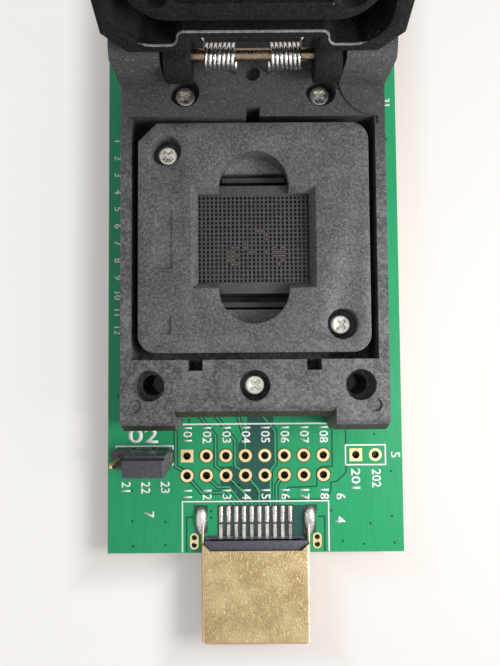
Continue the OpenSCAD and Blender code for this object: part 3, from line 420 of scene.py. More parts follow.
@dataclass(frozen=True)
class Metal:
    """Metal with cloudy tone, fine scratches and uneven gloss.

    Attributes:
        name: Name of the material.
        base: Colour of the clean metal.
        dull: Colour of its clouds.
        rough: Middle roughness.
        spread: How much the roughness varies.
        grain: Strength of the bump.
        scratch: Strength of the bright scratches.
        size: Scale of the pattern, where more is finer.
    """

    name: str
    base: Colour
    dull: Colour
    rough: float
    spread: float = 0.12
    grain: float = 0.15
    scratch: float = 0.3
    size: float = 1.0

    def make(self, fx: Effects) -> bpy.types.Material:
        """Builds the material."""
        n = Coat(self.name)
        cloud, grain, _ = fx.spots(n, self.size, 0.6)
        scratched, furrow = fx.lines(n, self.size)
        tone = n.maths("ADD", n.maths("MULTIPLY", cloud, 0.55), n.maths("MULTIPLY", grain, 0.35), clamp=True)
        bright = tuple(min(1.0, c * 1.25) for c in self.base)
        colour = n.blend(tone, self.base, self.dull)
        colour = n.blend(n.maths("MULTIPLY", scratched, self.scratch), colour, bright)
        least, most = self.rough - self.spread / 2, self.rough + self.spread
        height = n.maths("ADD", n.maths("MULTIPLY", grain, 0.8), furrow)
        return n.finish({"Base Color": colour, "Metallic": 1.0,
                         "Roughness": n.ramp(grain, 0.0, 1.0, least, most),
                         "Normal": n.bump(height, self.grain, 0.03 * MM)})


@dataclass(frozen=True)
class Tinned:
    """Contact metal that is gold at the front and tinned where it was soldered.

    Attributes:
        name: Name of the material.
        limit: Place along Y, in metres, behind which the metal is tinned.
        gold: Colour of the front.
        tin: Colour of the rear.
    """

    name: str
    limit: float = -33.4 * MM
    gold: Colour = (1.0, 0.80, 0.45)
    tin: Colour = (0.78, 0.77, 0.75)

    def make(self, fx: Effects) -> bpy.types.Material:
        """Builds the material."""
        n = Coat(self.name)
        ragged = n.maths("MULTIPLY", n.noise(n.where, 1800.0, 3.0), 0.5 * MM)
        along = n.maths("ADD", n.axis(n.where, "Y"), ragged)
        share = n.ramp(along, self.limit - 0.2 * MM, self.limit + 0.2 * MM)
        cloud, grain, _ = fx.spots(n, 1.8, 0.5)
        dull = n.maths("MULTIPLY", cloud, 0.85)
        return n.finish({"Base Color": n.blend(dull, n.blend(share, self.gold, self.tin), (0.22, 0.21, 0.20)),
                         "Metallic": 1.0, "Roughness": n.ramp(grain, 0.0, 1.0, 0.16, 0.36),
                         "Normal": n.bump(grain, 0.35, 0.03 * MM)})


@dataclass(frozen=True)
class SolderMask:
    """Green solder mask over copper, with glass cloth at the cut edges."""

    name: str
    green: Colour
    deep: Colour
    core: Colour = (0.42, 0.45, 0.20)

    def make(self, fx: Effects) -> bpy.types.Material:
        """Builds the material."""
        n = Coat(self.name)
        cloud = n.ramp(n.noise(n.where, 60.0, 3.0, 0.5, 0.5), 0.3, 0.7)
        streak = n.noise(n.stretch(n.where, (2400.0, 260.0, 100.0)), 1.0, 3.0, 0.6)
        weave = n.group(fx.weave, {"Vector": n.where}).outputs["Height"]
        tone = n.maths("ADD", n.maths("MULTIPLY", cloud, 0.35),
                       n.maths("MULTIPLY", n.ramp(streak, 0.35, 0.65), 0.3))
        tone = n.maths("ADD", tone, n.maths("MULTIPLY", weave, 0.15), clamp=True)
        facing_up = n.axis(n.add("ShaderNodeTexCoord").outputs["Normal"], "Z")
        upright = n.ramp(n.maths("ABSOLUTE", facing_up), 0.75, 0.35)
        plies = n.ramp(n.noise(n.stretch(n.where, (300.0, 300.0, 9000.0)), 1.0, 2.0), 0.4, 0.6)
        edge = n.blend(plies, self.core, tuple(c * 0.6 for c in self.core))
        colour = n.blend(upright, n.blend(tone, self.green, self.deep), edge)
        return n.finish({"Base Color": fx.soil(n, colour, (0.7, 0.75, 0.7)), "Specular IOR Level": 0.3,
                         "Roughness": n.ramp(upright, 0.0, 1.0, 0.40, 0.8),
                         "Normal": n.bump(n.maths("ADD", weave, streak), 0.12, 0.02 * MM)})


@dataclass(frozen=True)
class Ink:
    """Printed white ink with thin, broken places."""

    name: str
    ink: Colour
    thin: Colour

    def make(self, fx: Effects) -> bpy.types.Material:
        """Builds the material."""
        n = Coat(self.name)
        patchy = n.ramp(n.noise(n.where, 3200.0, 4.0, 0.7), 0.58, 0.72)
        colour = n.blend(n.maths("MULTIPLY", patchy, 0.7), self.ink, self.thin)
        return n.finish({"Base Color": fx.soil(n, colour, self.thin, 0.4),
                         "Roughness": n.ramp(patchy, 0.0, 1.0, 0.5, 0.65)})


@dataclass
class Finishes:
    """Every finish of the object, built once."""

    fx: Effects

    def __post_init__(self) -> None:
        """Builds the materials."""
        fx = self.fx
        # The base's pattern gives way to its plain dark plastic at the rear: painted shade on the rear deck
        # under the open lid.
        self.base = MottledPlastic("socket_base_plastic", (0.045, 0.043, 0.050), (0.20, 0.20, 0.205),
                                   (0.42, 0.43, 0.43), clouds=0.85, shade_at_rear=0.2).make(fx)
        # A darker copy of the base plastic: painted shade on the sloped front edges and on the rear ledge.
        self.brow = MottledPlastic("base_plastic_painted_shade", (0.030, 0.026, 0.025), (0.075, 0.066, 0.062),
                                   (0.16, 0.15, 0.15), wear=0.3, sheen=0.2).make(fx)
        self.lid = MottledPlastic("lid_plastic", (0.008, 0.008, 0.009), (0.024, 0.024, 0.024),
                                  (0.09, 0.09, 0.09), clouds=0.6, flecks=0.25, wear=0.3, rough=0.65,
                                  sheen=0.12).make(fx)
        # Pale copy of the lid plastic for the bevel along the lid's lip: a painted highlight.
        self.lip = MottledPlastic("lid_lip_painted_highlight", (0.12, 0.13, 0.14), (0.30, 0.31, 0.33), (0.5, 0.5, 0.5),
                                  wear=0.2).make(fx)
        self.guide = MottledPlastic("guide_plastic", (0.055, 0.053, 0.061), (0.175, 0.175, 0.185),
                                    (0.36, 0.37, 0.38), size=1.15, clouds=0.8, rough=0.46).make(fx)
        self.contact = MouldedNylon("contact_plastic", (0.030, 0.028, 0.032), (0.13, 0.12, 0.13),
                                    rough=0.5).make(fx)
        self.nylon = MouldedNylon("header_nylon", (0.022, 0.022, 0.026), (0.11, 0.11, 0.14),
                                  rough=0.38).make(fx)
        self.insulator = MouldedNylon("insulator_nylon", (0.045, 0.045, 0.062), (0.18, 0.18, 0.23)).make(fx)
        self.jumper = MouldedNylon("jumper_plastic", (0.035, 0.034, 0.045), (0.12, 0.115, 0.15),
                                   rough=0.42).make(fx)
        self.mask = SolderMask("solder_mask", (0.022, 0.37, 0.155), (0.014, 0.28, 0.108)).make(fx)
        self.bare_mask = SolderMask("bare_board_mask", (0.018, 0.105, 0.082), (0.012, 0.072, 0.060)).make(fx)
        self.gap = SolderMask("gap_mask", (0.008, 0.105, 0.055), (0.007, 0.078, 0.042)).make(fx)
        self.trace = SolderMask("trace_mask", (0.060, 0.42, 0.22), (0.035, 0.34, 0.165)).make(fx)
        self.ink = Ink("printed_ink", (0.90, 0.96, 0.92), (0.35, 0.65, 0.50)).make(fx)
        self.gold = Metal("gold_plating", (1.0, 0.80, 0.46), (0.80, 0.55, 0.27), 0.28, size=2.0).make(fx)
        self.rim = Metal("etched_copper", (0.42, 0.24, 0.10), (0.22, 0.12, 0.05), 0.45, size=2.0).make(fx)
        # Dark brown plating in the holes: painted shade down the barrels.
        self.barrel = Metal("barrel_painted_shade", (0.20, 0.12, 0.05), (0.10, 0.06, 0.025), 0.5, size=2.0).make(fx)
        # Tin of the pads, darkened as painted shade between the contact bars.
        self.tin_painted_shade = Metal("tin_painted_shade", (0.10, 0.10, 0.09), (0.04, 0.04, 0.037), 0.38, grain=0.4,
                              size=1.4).make(fx)
        self.tinned = Tinned("tinned_contacts").make(fx)
        self.plug = Metal("plug_gold", (0.56, 0.45, 0.25), (0.30, 0.215, 0.10), 0.38, spread=0.2, grain=0.8,
                          scratch=1.0, size=1.7).make(fx)
        # White gold for the right fold: a painted highlight of the lamp on the right.
        self.fold_highlight = Metal("plug_fold_painted_highlight", (1.0, 0.96, 0.88), (0.95, 0.86, 0.72), 0.25).make(fx)
        self.fold_copper = Metal("plug_fold_coppery", (0.80, 0.52, 0.34), (0.62, 0.38, 0.24), 0.40).make(fx)
        self.solder = Metal("solder", (0.74, 0.71, 0.70), (0.26, 0.24, 0.23), 0.20, grain=0.6,
                            size=1.6).make(fx)
        self.screw = Metal("screw_steel", (0.84, 0.82, 0.76), (0.50, 0.47, 0.41), 0.36, size=2.2).make(fx)
        self.spring = Metal("spring_steel", (0.92, 0.91, 0.90), (0.60, 0.59, 0.58), 0.20, size=2.0).make(fx)
        self.pin = Metal("hinge_pin_steel", (0.36, 0.27, 0.20), (0.20, 0.145, 0.105), 0.30, size=1.6).make(fx)


# ---------------------------------------------------------------- mesh work


def mesh_object(name: str, work: bmesh.types.BMesh, material: bpy.types.Material,
                smooth_angle: float | None = 30.0) -> bpy.types.Object:
    """Turns a bmesh into an object at the origin.

    Args:
        name: Name of the piece.
        work: The finished bmesh, which is freed.
        material: Its material.
        smooth_angle: Angle in degrees under which edges are shaded smooth, or None for flat shading.

    Returns:
        The new object.
    """
    mesh = bpy.data.meshes.new(name)
    work.to_mesh(mesh)
    work.free()
    mesh.materials.append(material)
    if smooth_angle is not None:
        mesh.shade_smooth()
        mesh.set_sharp_from_angle(angle=math.radians(smooth_angle))
    piece = bpy.data.objects.new(name, mesh)
    bpy.context.scene.collection.objects.link(piece)
    return piece


def fit(piece: bpy.types.Object, body: Body, slot: Slot, *stands_for: str) -> bpy.types.Object:
    """Rides a piece on its body and hides the nodes that it stands for."""
    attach(piece, body.value)
    if stands_for:
        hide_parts(*stands_for)
    LOG.info("%s rides on %s", piece.name, body.value)
    return piece


def bevel(work: bmesh.types.BMesh, edges: Iterable[bmesh.types.BMEdge], width: float, segments: int,
          material: int = -1, clamp: bool = True) -> list[bmesh.types.BMFace]:
    """Bevels edges.

    Args:
        work: The mesh.
        edges: The edges.
        width: Width of the bevel on each side.
        segments: Steps across it.
        material: Index of the new faces' material, or -1 for that of their neighbours.
        clamp: Whether the bevel stops where it would meet another.

    Returns:
        The new faces.
    """
    made = bmesh.ops.bevel(work, geom=list(edges), offset=width, offset_type="OFFSET", segments=segments,
                           profile=0.5, affect="EDGES", material=material, clamp_overlap=clamp)
    return made["faces"]


def cut(work: bmesh.types.BMesh, place: Vector, normal: Vector, clear: bool = False,
        near: float = 1e-4) -> None:
    """Cuts the whole mesh by a plane, and clears what lies past it if asked."""
    bmesh.ops.bisect_plane(work, geom=[*work.verts, *work.edges, *work.faces], dist=near, plane_co=place,
                           plane_no=normal, clear_outer=clear)


@dataclass(frozen=True)
class EdgeBreak:
    """Broken edges of a moulded or cut piece.

    Attributes:
        width: Width of the bevel.
        segments: Steps across it.
        angle: Least angle between faces, in degrees, at which an edge is broken.
    """

    width: float = 0.08 * MM
    segments: int = 2
    angle: float = 40.0

    def apply(self, work: bmesh.types.BMesh) -> None:
        """Bevels the sharp edges and marks the new faces as edge wear."""
        limit = math.radians(self.angle)
        sharp = [e for e in work.edges if len(e.link_faces) == 2 and e.calc_face_angle(0.0) > limit]
        made = bevel(work, sharp, self.width, self.segments, clamp=False)
        layer = work.faces.layers.float.get(EDGE_LAYER) or work.faces.layers.float.new(EDGE_LAYER)
        for face in made:
            if face.is_valid:
                face[layer] = 1.0


def copy_of(node: bpy.types.Object, flat: float = 0.6) -> bmesh.types.BMesh:
    """Copies a CAD node's mesh, with its loose triangles merged and its flat faces joined.

    Args:
        node: The CAD node.
        flat: Angle in degrees up to which neighbouring faces are joined, or 0 to join none.

    Returns:
        The copied mesh.
    """
    work = bmesh.new()
    work.from_mesh(node.data)
    bmesh.ops.remove_doubles(work, verts=work.verts, dist=MERGE)
    if flat:
        bmesh.ops.dissolve_limit(work, angle_limit=math.radians(flat), verts=work.verts, edges=work.edges)
    return work


@dataclass
class Dresser:
    """Gives CAD nodes their finish, as they are or as copies with broken edges."""

    nodes: dict[str, bpy.types.Object]

    def paint(self, name: str, material: bpy.types.Material) -> None:
        """Puts a material on a CAD node's own slots."""
        mesh = self.nodes[name].data
        mesh.materials.clear()
        mesh.materials.append(material)
        LOG.info("%s painted", name)

    def stand_in(self, name: str, work: bmesh.types.BMesh, material: bpy.types.Material, body: Body,
                 slot: Slot, angle: float = 32.0) -> bpy.types.Object:
        """Stands a finished mesh in place of a node, smooth-shaded under an angle in degrees."""
        return fit(mesh_object(name + "_dressed", work, material, angle), body, slot, name)

    def bevelled(self, name: str, material: bpy.types.Material, body: Body, slot: Slot,
                 edges: EdgeBreak = EdgeBreak()) -> bpy.types.Object:
        """Stands a copy with broken edges in place of a node."""
        work = copy_of(self.nodes[name])
        edges.apply(work)
        return self.stand_in(name, work, material, body, slot)

    def smoothed(self, name: str, material: bpy.types.Material, body: Body, slot: Slot,
                 angle: float = 50.0) -> bpy.types.Object:
        """Stands a smooth-shaded copy in place of a node."""
        return self.stand_in(name, copy_of(self.nodes[name], 0.0), material, body, slot, angle)


def join_into(target: bmesh.types.BMesh, piece: bmesh.types.BMesh) -> None:
    """Adds one bmesh to another and frees it."""
    mesh = bpy.data.meshes.new("part")
    piece.to_mesh(mesh)
    piece.free()
    target.from_mesh(mesh)
    bpy.data.meshes.remove(mesh)


def thicken(work: bmesh.types.BMesh, height: float, along: Point3 = (0.0, 0.0, 1.0)) -> None:
    """Raises flat faces along a direction into a closed slab of that height."""
    raised = bmesh.ops.extrude_face_region(work, geom=list(work.faces))
    moved = [item for item in raised["geom"] if isinstance(item, bmesh.types.BMVert)]
    bmesh.ops.translate(work, verts=moved, vec=Vector(along) * height)
    bmesh.ops.recalc_face_normals(work, faces=work.faces)


def ribbon(route: Sequence[Vector], width: float, height: float) -> bmesh.types.BMesh:
    """Draws a flat strip along a route.

    Args:
        route: Points of the strip's middle line, all at one height.
        width: Width of the strip.
        height: Thickness of the strip, upwards.

    Returns:
        The strip as a closed bmesh.
    """
    work = bmesh.new()
    rows = []
    for index, point in enumerate(route):
        before = (point - route[index - 1]).normalized() if index else None
        after = (route[index + 1] - point).normalized() if index + 1 < len(route) else None
        along = ((before or after) + (after or before)).normalized()
        side = Vector((-along.y, along.x, 0.0)) * (width / 2) / max(0.5, along.dot(before or after))
        rows.append((work.verts.new(point + side), work.verts.new(point - side)))
    for first, second in zip(rows, rows[1:]):
        work.faces.new((*first, *reversed(second)))
    thicken(work, height)
    return work


def plate(centre: Vector, outer: float, inner: float, height: float, sides: int = 32) -> bmesh.types.BMesh:
    """Makes a round plate with its underside at the centre.

    Args:
        centre: Middle of its underside.
        outer: Its radius.
        inner: Radius of the hole in it, or 0 for none.
        height: Its thickness, upwards.
        sides: Number of its sides.

    Returns:
        The plate as a closed bmesh.
    """
    work = bmesh.new()
    place = Matrix.Translation(centre)
    for radius in filter(None, (outer, inner)):
        bmesh.ops.create_circle(work, cap_ends=not inner, radius=radius, segments=sides, matrix=place)
    if inner:
        bmesh.ops.bridge_loops(work, edges=list(work.edges))
    thicken(work, height)
    return work


def slab(low: Vector, high: Vector, edges: float = 0.0, segments: int = 2) -> bmesh.types.BMesh:
    """Makes a box between two corners.

    Args:
        low: Lowest corner.
        high: Highest corner.
        edges: Width of the bevel on every edge.
        segments: Steps across the bevel.

    Returns:
        The box as a closed bmesh.
    """
    work = bmesh.new()
    size = high - low
    place = Matrix.Translation((low + high) / 2) @ Matrix.Diagonal((*size, 1.0))
    bmesh.ops.create_cube(work, size=1.0, matrix=place)
    if edges:
        bevel(work, work.edges, edges, segments)
    return work


# ---------------------------------------------------------------- board


@dataclass
class BoardPlan:
    """Places on the board, in the millimetres of its own drawing.

    The drawing's zero is the chip's centre, on the board's top face. The chip's centre and the board's
    top are read from the frame.
    """

    zero: Vector

    @classmethod
    def from_frame(cls) -> "BoardPlan":
        """Reads the drawing's zero from the contact grid and the board."""
        low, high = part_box("contact_grid")
        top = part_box("circuit_board")[1].z
        middle = (low + high) / 2
        return cls(Vector((middle.x, middle.y, top)))

    def at(self, x: float, y: float, z: float = 0.0) -> Vector:
        """Turns millimetres of the drawing into a place in the frame."""
        return self.zero + Vector((x, y, z)) * MM


@dataclass
class Layer:
    """One printed or etched layer on the board: strips, dots and characters joined to one mesh."""

    plan: BoardPlan
    name: str
    level: float
    thickness: float
    work: bmesh.types.BMesh = field(default_factory=bmesh.new)

    def line(self, points: Iterable[Point2], width: float) -> None:
        """Adds a strip through points of the drawing."""
        route = [self.plan.at(x, y, self.level) for x, y in points]
        join_into(self.work, ribbon(route, width * MM, self.thickness * MM))

    def area(self, points: Iterable[Point2], holes: Iterable[Point2] = (), hole_w: float = 1.1) -> None:
        """Adds a flat area.

        Args:
            points: Its corners in the drawing.
            holes: Middles of square holes.
            hole_w: Width of those holes.
        """
        patch = bmesh.new()
        patch.faces.new([patch.verts.new(self.plan.at(x, y, self.level)) for x, y in points])
        for x, y in holes:
            middle, reach = self.plan.at(x, y, self.level), hole_w / 2 * MM
            for normal in (Vector((1.0, 0.0, 0.0)), Vector((0.0, 1.0, 0.0))):
                for side in (-1, 1):
                    cut(patch, middle + side * reach * normal, normal, near=1e-7)
            inner = [f for f in patch.faces
                     if max(abs(c) for c in (f.calc_center_median() - middle).xy) < reach]
            bmesh.ops.delete(patch, geom=inner, context="FACES")
        thicken(patch, self.thickness * MM)
        join_into(self.work, patch)

    def dot(self, x: float, y: float, diameter: float) -> None:
        """Adds a round dot."""
        place = self.plan.at(x, y, self.level)
        join_into(self.work, plate(place, diameter / 2 * MM, 0.0, self.thickness * MM, 20))

    def ring(self, x: float, y: float, outer: float, inner: float) -> None:
        """Adds a round ring between two diameters."""
        place = self.plan.at(x, y, self.level)
        join_into(self.work, plate(place, outer / 2 * MM, inner / 2 * MM, self.thickness * MM))

    def pad(self, x: float, front: float, rear: float, width: float) -> None:
        """Adds a lengthwise rectangle."""
        half = width / 2
        self.area([(x - half, front), (x + half, front), (x + half, rear), (x - half, rear)])

    def number(self, digits: str, x: float, y: float, size: float, turn: float = -90.0,
               stretch: float = 1.0) -> None:
        """Adds a plain number, centred on a place.

        Args:
            digits: The digits.
            x: Place across, in millimetres of the drawing.
            y: Place along, in millimetres of the drawing.
            size: Height of the digits in millimetres.
            turn: Angle that the number is turned by, in degrees.
            stretch: Scale of the number's length.
        """
        curve = bpy.data.curves.new("digits", "FONT")
        curve.body = digits
        curve.align_x, curve.align_y = "CENTER", "CENTER"
        curve.resolution_u = 3
        curve.offset = 0.018
        holder = bpy.data.objects.new("digits", curve)
        mesh = bpy.data.meshes.new_from_object(holder)
        flat = bmesh.new()
        flat.from_mesh(mesh)
        bmesh.ops.remove_doubles(flat, verts=flat.verts, dist=1e-5)
        height = size * FONT_PER_DIGIT * MM
        scale = Matrix.Diagonal((height * stretch, height, 1.0, 1.0))
        place = Matrix.Translation(self.plan.at(x, y, self.level))
        place = place @ Matrix.Rotation(math.radians(turn), 4, "Z")
        bmesh.ops.transform(flat, matrix=place @ scale, verts=flat.verts)
        thicken(flat, self.thickness * MM)
        join_into(self.work, flat)
        bpy.data.objects.remove(holder)
        bpy.data.curves.remove(curve)
        bpy.data.meshes.remove(mesh)

    def finish(self, material: bpy.types.Material) -> bpy.types.Object:
        """Makes the layer a piece that rides on the socket's board."""
        return fit(mesh_object(self.name, self.work, material, None), Body.SOCKET, Slot.BOARD)


@dataclass
class Assembly:
    """A sub-assembly of the object.

    Attributes:
        plan: Places on the board.
        finishes: The finishes of the object.
        dresser: What gives the CAD nodes their finish.
    """

    plan: BoardPlan
    finishes: Finishes
    dresser: Dresser

    def build(self) -> None:
        """Dresses the sub-assembly's nodes and adds its pieces."""
        raise NotImplementedError


@dataclass
class AdapterBoard(Assembly):
    """Green adapter board with its copper, vias, printed lines and plain numbers.

    Places and widths are millimetres of the drawing.

    Attributes:
        pitch: Pitch of the header holes.
        columns: Number of columns of the main header holes.
        rear_row: Place along of their rear row.
        front_row: Place along of their front row.
        aux_x: Place across of the middle of the two auxiliary holes.
        hole_r: Radius of the holes.
        barrel_t: Thickness of the plating in the holes.
        land_w: Width of the lands.
        land_gap: Width of the bare ring round each land.
        trace_w: Width of the copper traces.
        gap_w: Width of the bare strip under each trace.
        rim_w: How much the dark rims reach past the lands.
        slit_w: Width of the slits between copper areas.
        via_w: Diameter of the vias.
        silk_w: Width of the printed lines.
        digit_h: Height of the printed digits.
        tail_y: Place along of the plug's tails.
        vias: Places of the vias.
    """

    pitch: float = 2.54
    columns: int = 8
    rear_row: float = -26.86
    front_row: float = -29.40
    aux_x: float = 14.405
    hole_r: float = 0.5
    barrel_t: float = 0.03
    land_w: float = 1.62
    land_gap: float = 0.17
    trace_w: float = 0.2
    gap_w: float = 0.6
    rim_w: float = 0.14
    slit_w: float = 0.2
    via_w: float = 0.34
    silk_w: float = 0.17
    digit_h: float = 1.15
    tail_y: float = -33.4
    vias: tuple[Point2, ...] = (
        (-5.75, -34.0), (-5.75, -34.8), (-16.0, -35.2), (-11.7, -35.3), (-15.9, -38.4), (-11.7, -38.3),
        (-16.1, -31.3), (15.6, -24.2), (17.7, -29.0), (17.7, -34.8), (14.9, -35.7), (9.8, -34.0),
        (11.3, -37.9), (14.0, -38.3), (18.0, -38.2), (-17.9, -19.0), (-17.2, 6.0), (17.6, -12.0),
        (17.3, 4.0), (17.9, 15.0), (-17.8, 24.0), (17.2, 27.0))

    def column(self, index: int) -> float:
        """Gives the place across of a column of the main header holes."""
        return (index - (self.columns - 1) / 2) * self.pitch

    def header_sites(self) -> list[Point2]:
        """Lists the main header holes, the rear row first."""
        return [(self.column(i), row) for row in (self.rear_row, self.front_row) for i in range(self.columns)]

    def routes(self) -> list[list[Point2]]:
        """Lists the copper traces as routes in the drawing."""
        c, front, back = self.column, self.front_row, self.rear_row
        left = [
            [(-10.35, -22.0), (-10.35, -28.2), (c(0) - 0.5, front + 0.6)],
            [(-7.3, -21.6), (-5.15, -24.3), (-5.15, -28.2), (c(2) - 0.5, front + 0.6)],
            [(-5.2, -21.6), (-2.6, -24.9), (-2.6, -28.2), (c(3) - 0.5, front + 0.6)],
            [(-2.2, -21.6), (c(3), -25.0), (c(3), back + 0.7)],
            [(c(0) + 0.4, front - 0.5), (-7.0, -31.6), (-4.2, -31.6), (-2.5, self.tail_y)],
            [(c(1) + 0.4, front - 0.5), (-4.9, -30.9), (-3.4, -30.9), (-1.5, self.tail_y)],
            [(c(2) + 0.5, front - 0.4), (-0.5, -32.6), (-0.5, self.tail_y)],
            [(c(3) + 0.5, front - 0.4), (0.5, -31.4), (0.5, self.tail_y)],
        ]
        right = [
            [(0.9, -21.6), (2.65, -23.7), (2.65, -28.0), (2.0, -28.8), (1.95, self.tail_y)],
            [(c(5) - 0.5, front - 0.5), (2.75, -30.7), (2.75, self.tail_y)],
        ]
        under_socket = [[(x, 24.0), (x, 32.0)] for x in (-12.0, -4.0, 6.0, 13.0)]
        return left + right + under_socket

    def slits(self) -> list[list[Point2]]:
        """Lists the bare slits between copper areas."""
        c, front = self.column, self.front_row
        supply = [(8.7, -21.6), (10.05, -23.6), (10.05, -28.35), (8.7, -28.4), (8.05, -28.8), (8.0, -30.9),
                  (4.25, -31.0), (3.85, -31.7), (4.2, -32.55), (9.05, -32.55), (9.8, -31.6), (9.85, -30.35),
                  (10.6, -30.3), (11.85, -29.1), (11.85, -20.0)]
        fork = [(c(2) + 0.3, front - 1.0), (c(2) + 0.9, front - 1.1), (-0.2, -31.0), (0.3, -31.9)]
        shield = [[(side * 8.1, -34.75), (side * 8.95, -34.75), (side * 8.95, -39.2)] for side in (1, -1)]
        left_edge = [(-8.6, -24.9), (-8.6, -22.0)]
        return [supply, fork, left_edge] + shield

    def build(self) -> None:
        """Dresses the board and adds its layers."""
        self.dresser.paint("circuit_board", self.finishes.mask)
        self.dresser.paint("plated_holes", self.finishes.gold)
        self._copper()
        self._barrels()
        self._print()

    def _copper(self) -> None:
        """Adds bare areas, gaps, traces and vias."""
        bare = Layer(self.plan, "bare_areas", 0.002, 0.006)
        bare.area([(-1.0, -21.4), (2.4, -21.4), (2.4, -27.8), (1.7, -28.8), (1.7, -33.0), (-1.9, -33.0),
                   (-2.5, -31.4), (-4.5, -31.0), (-4.6, -28.3), (-2.2, -28.2), (-2.2, -25.4), (-1.0, -23.8)],
                  [(self.column(i), row) for i in (2, 3, 4) for row in (self.rear_row, self.front_row)])
        bare.area([(-4.95, -33.3), (6.4, -33.3), (6.4, -38.2), (-4.95, -38.2)])
        bare.area([(-8.0, -33.2), (-6.2, -33.2), (-6.2, -34.0), (-8.0, -34.0)])
        bare.area([(6.4, -33.2), (8.0, -33.2), (8.0, -34.0), (6.4, -34.0)])
        bare.finish(self.finishes.bare_mask)
        gaps = Layer(self.plan, "copper_gaps", 0.004, 0.010)
        traces = Layer(self.plan, "copper_traces", 0.006, 0.018)
        for route in self.routes():
            gaps.line(route, self.gap_w)
            traces.line(route, self.trace_w)
        for route in self.slits():
            gaps.line(route, self.slit_w)
        for x, y in self.vias:
            gaps.dot(x, y, self.via_w)
        rims = Layer(self.plan, "land_rims", 0.010, 0.016)
        for x, y in self.header_sites()[1:]:
            gaps.ring(x, y, self.land_w + 2 * self.land_gap, self.land_w)
            rims.ring(x, y, self.land_w + self.rim_w, self.land_w - 0.06)
        gaps.finish(self.finishes.gap)
        traces.finish(self.finishes.trace)
        rims.finish(self.finishes.rim)

    def _barrels(self) -> None:
        """Lines the header and ground holes with plating that is darkened as painted shade inside the holes.
        """
        low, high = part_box("circuit_board")
        sites = self.header_sites()
        sites += [(self.aux_x + side * self.pitch / 2, self.rear_row) for side in (-1, 1)]
        outer = (self.hole_r - 0.005) * MM
        work = bmesh.new()
        for x, y in sites:
            foot = self.plan.at(x, y)
            foot.z = low.z
            join_into(work, plate(foot, outer, outer - self.barrel_t * MM, high.z - low.z, 24))
        fit(mesh_object("hole_barrels", work, self.finishes.barrel), Body.SOCKET, Slot.GOLD)

    def _print(self) -> None:
        """Prints the white outlines and plain numbers."""
        ink = Layer(self.plan, "printed_marks", 0.010, 0.020)
        w, h = self.silk_w, self.digit_h
        ink.line([(-9.9, -22.75), (10.0, -22.75)], w * 1.2)
        for side in (-1, 1):
            ink.line([(side * 9.5, -39.2), (side * 9.5, -32.75), (0.0, -32.75)], w)
        ink.line([(-17.9, -28.1), (-18.1, -28.1), (-18.1, -25.55), (-10.7, -25.55), (-10.7, -28.1)], w)
        ink.line([(11.8, -28.15), (11.8, -25.6), (17.0, -25.6), (17.0, -28.15), (11.7, -28.15)], w)
        for index in range(self.columns):
            ink.number(str(101 + index), self.column(index), -24.05, h)
            ink.number(str(11 + index), self.column(index), -31.75, h)
        for index in range(3):
            ink.number(str(21 + index), -16.9 + index * self.pitch, -30.9, h)
        ink.number("201", 13.0, -30.1, h, stretch=1.25)
        ink.number("202", 15.7, -29.9, h)
        for digits, x, y in (("7", -13.9, -34.3), ("5", 18.2, -26.9), ("6", 11.0, -32.2), ("4", 10.9, -35.2)):
            ink.number(digits, x, y, 1.25)
        ink.number("02", -14.6, -24.3, 1.9, turn=0.0, stretch=1.5)
        for index in range(12):
            ink.number(str(index + 1), -18.0, 15.0 - index * 2.3, 0.95)
        for index, y in enumerate((20.0, 27.5)):
            ink.number(str(index + 31), 17.9, y, 0.95)
        ink.finish(self.finishes.ink)


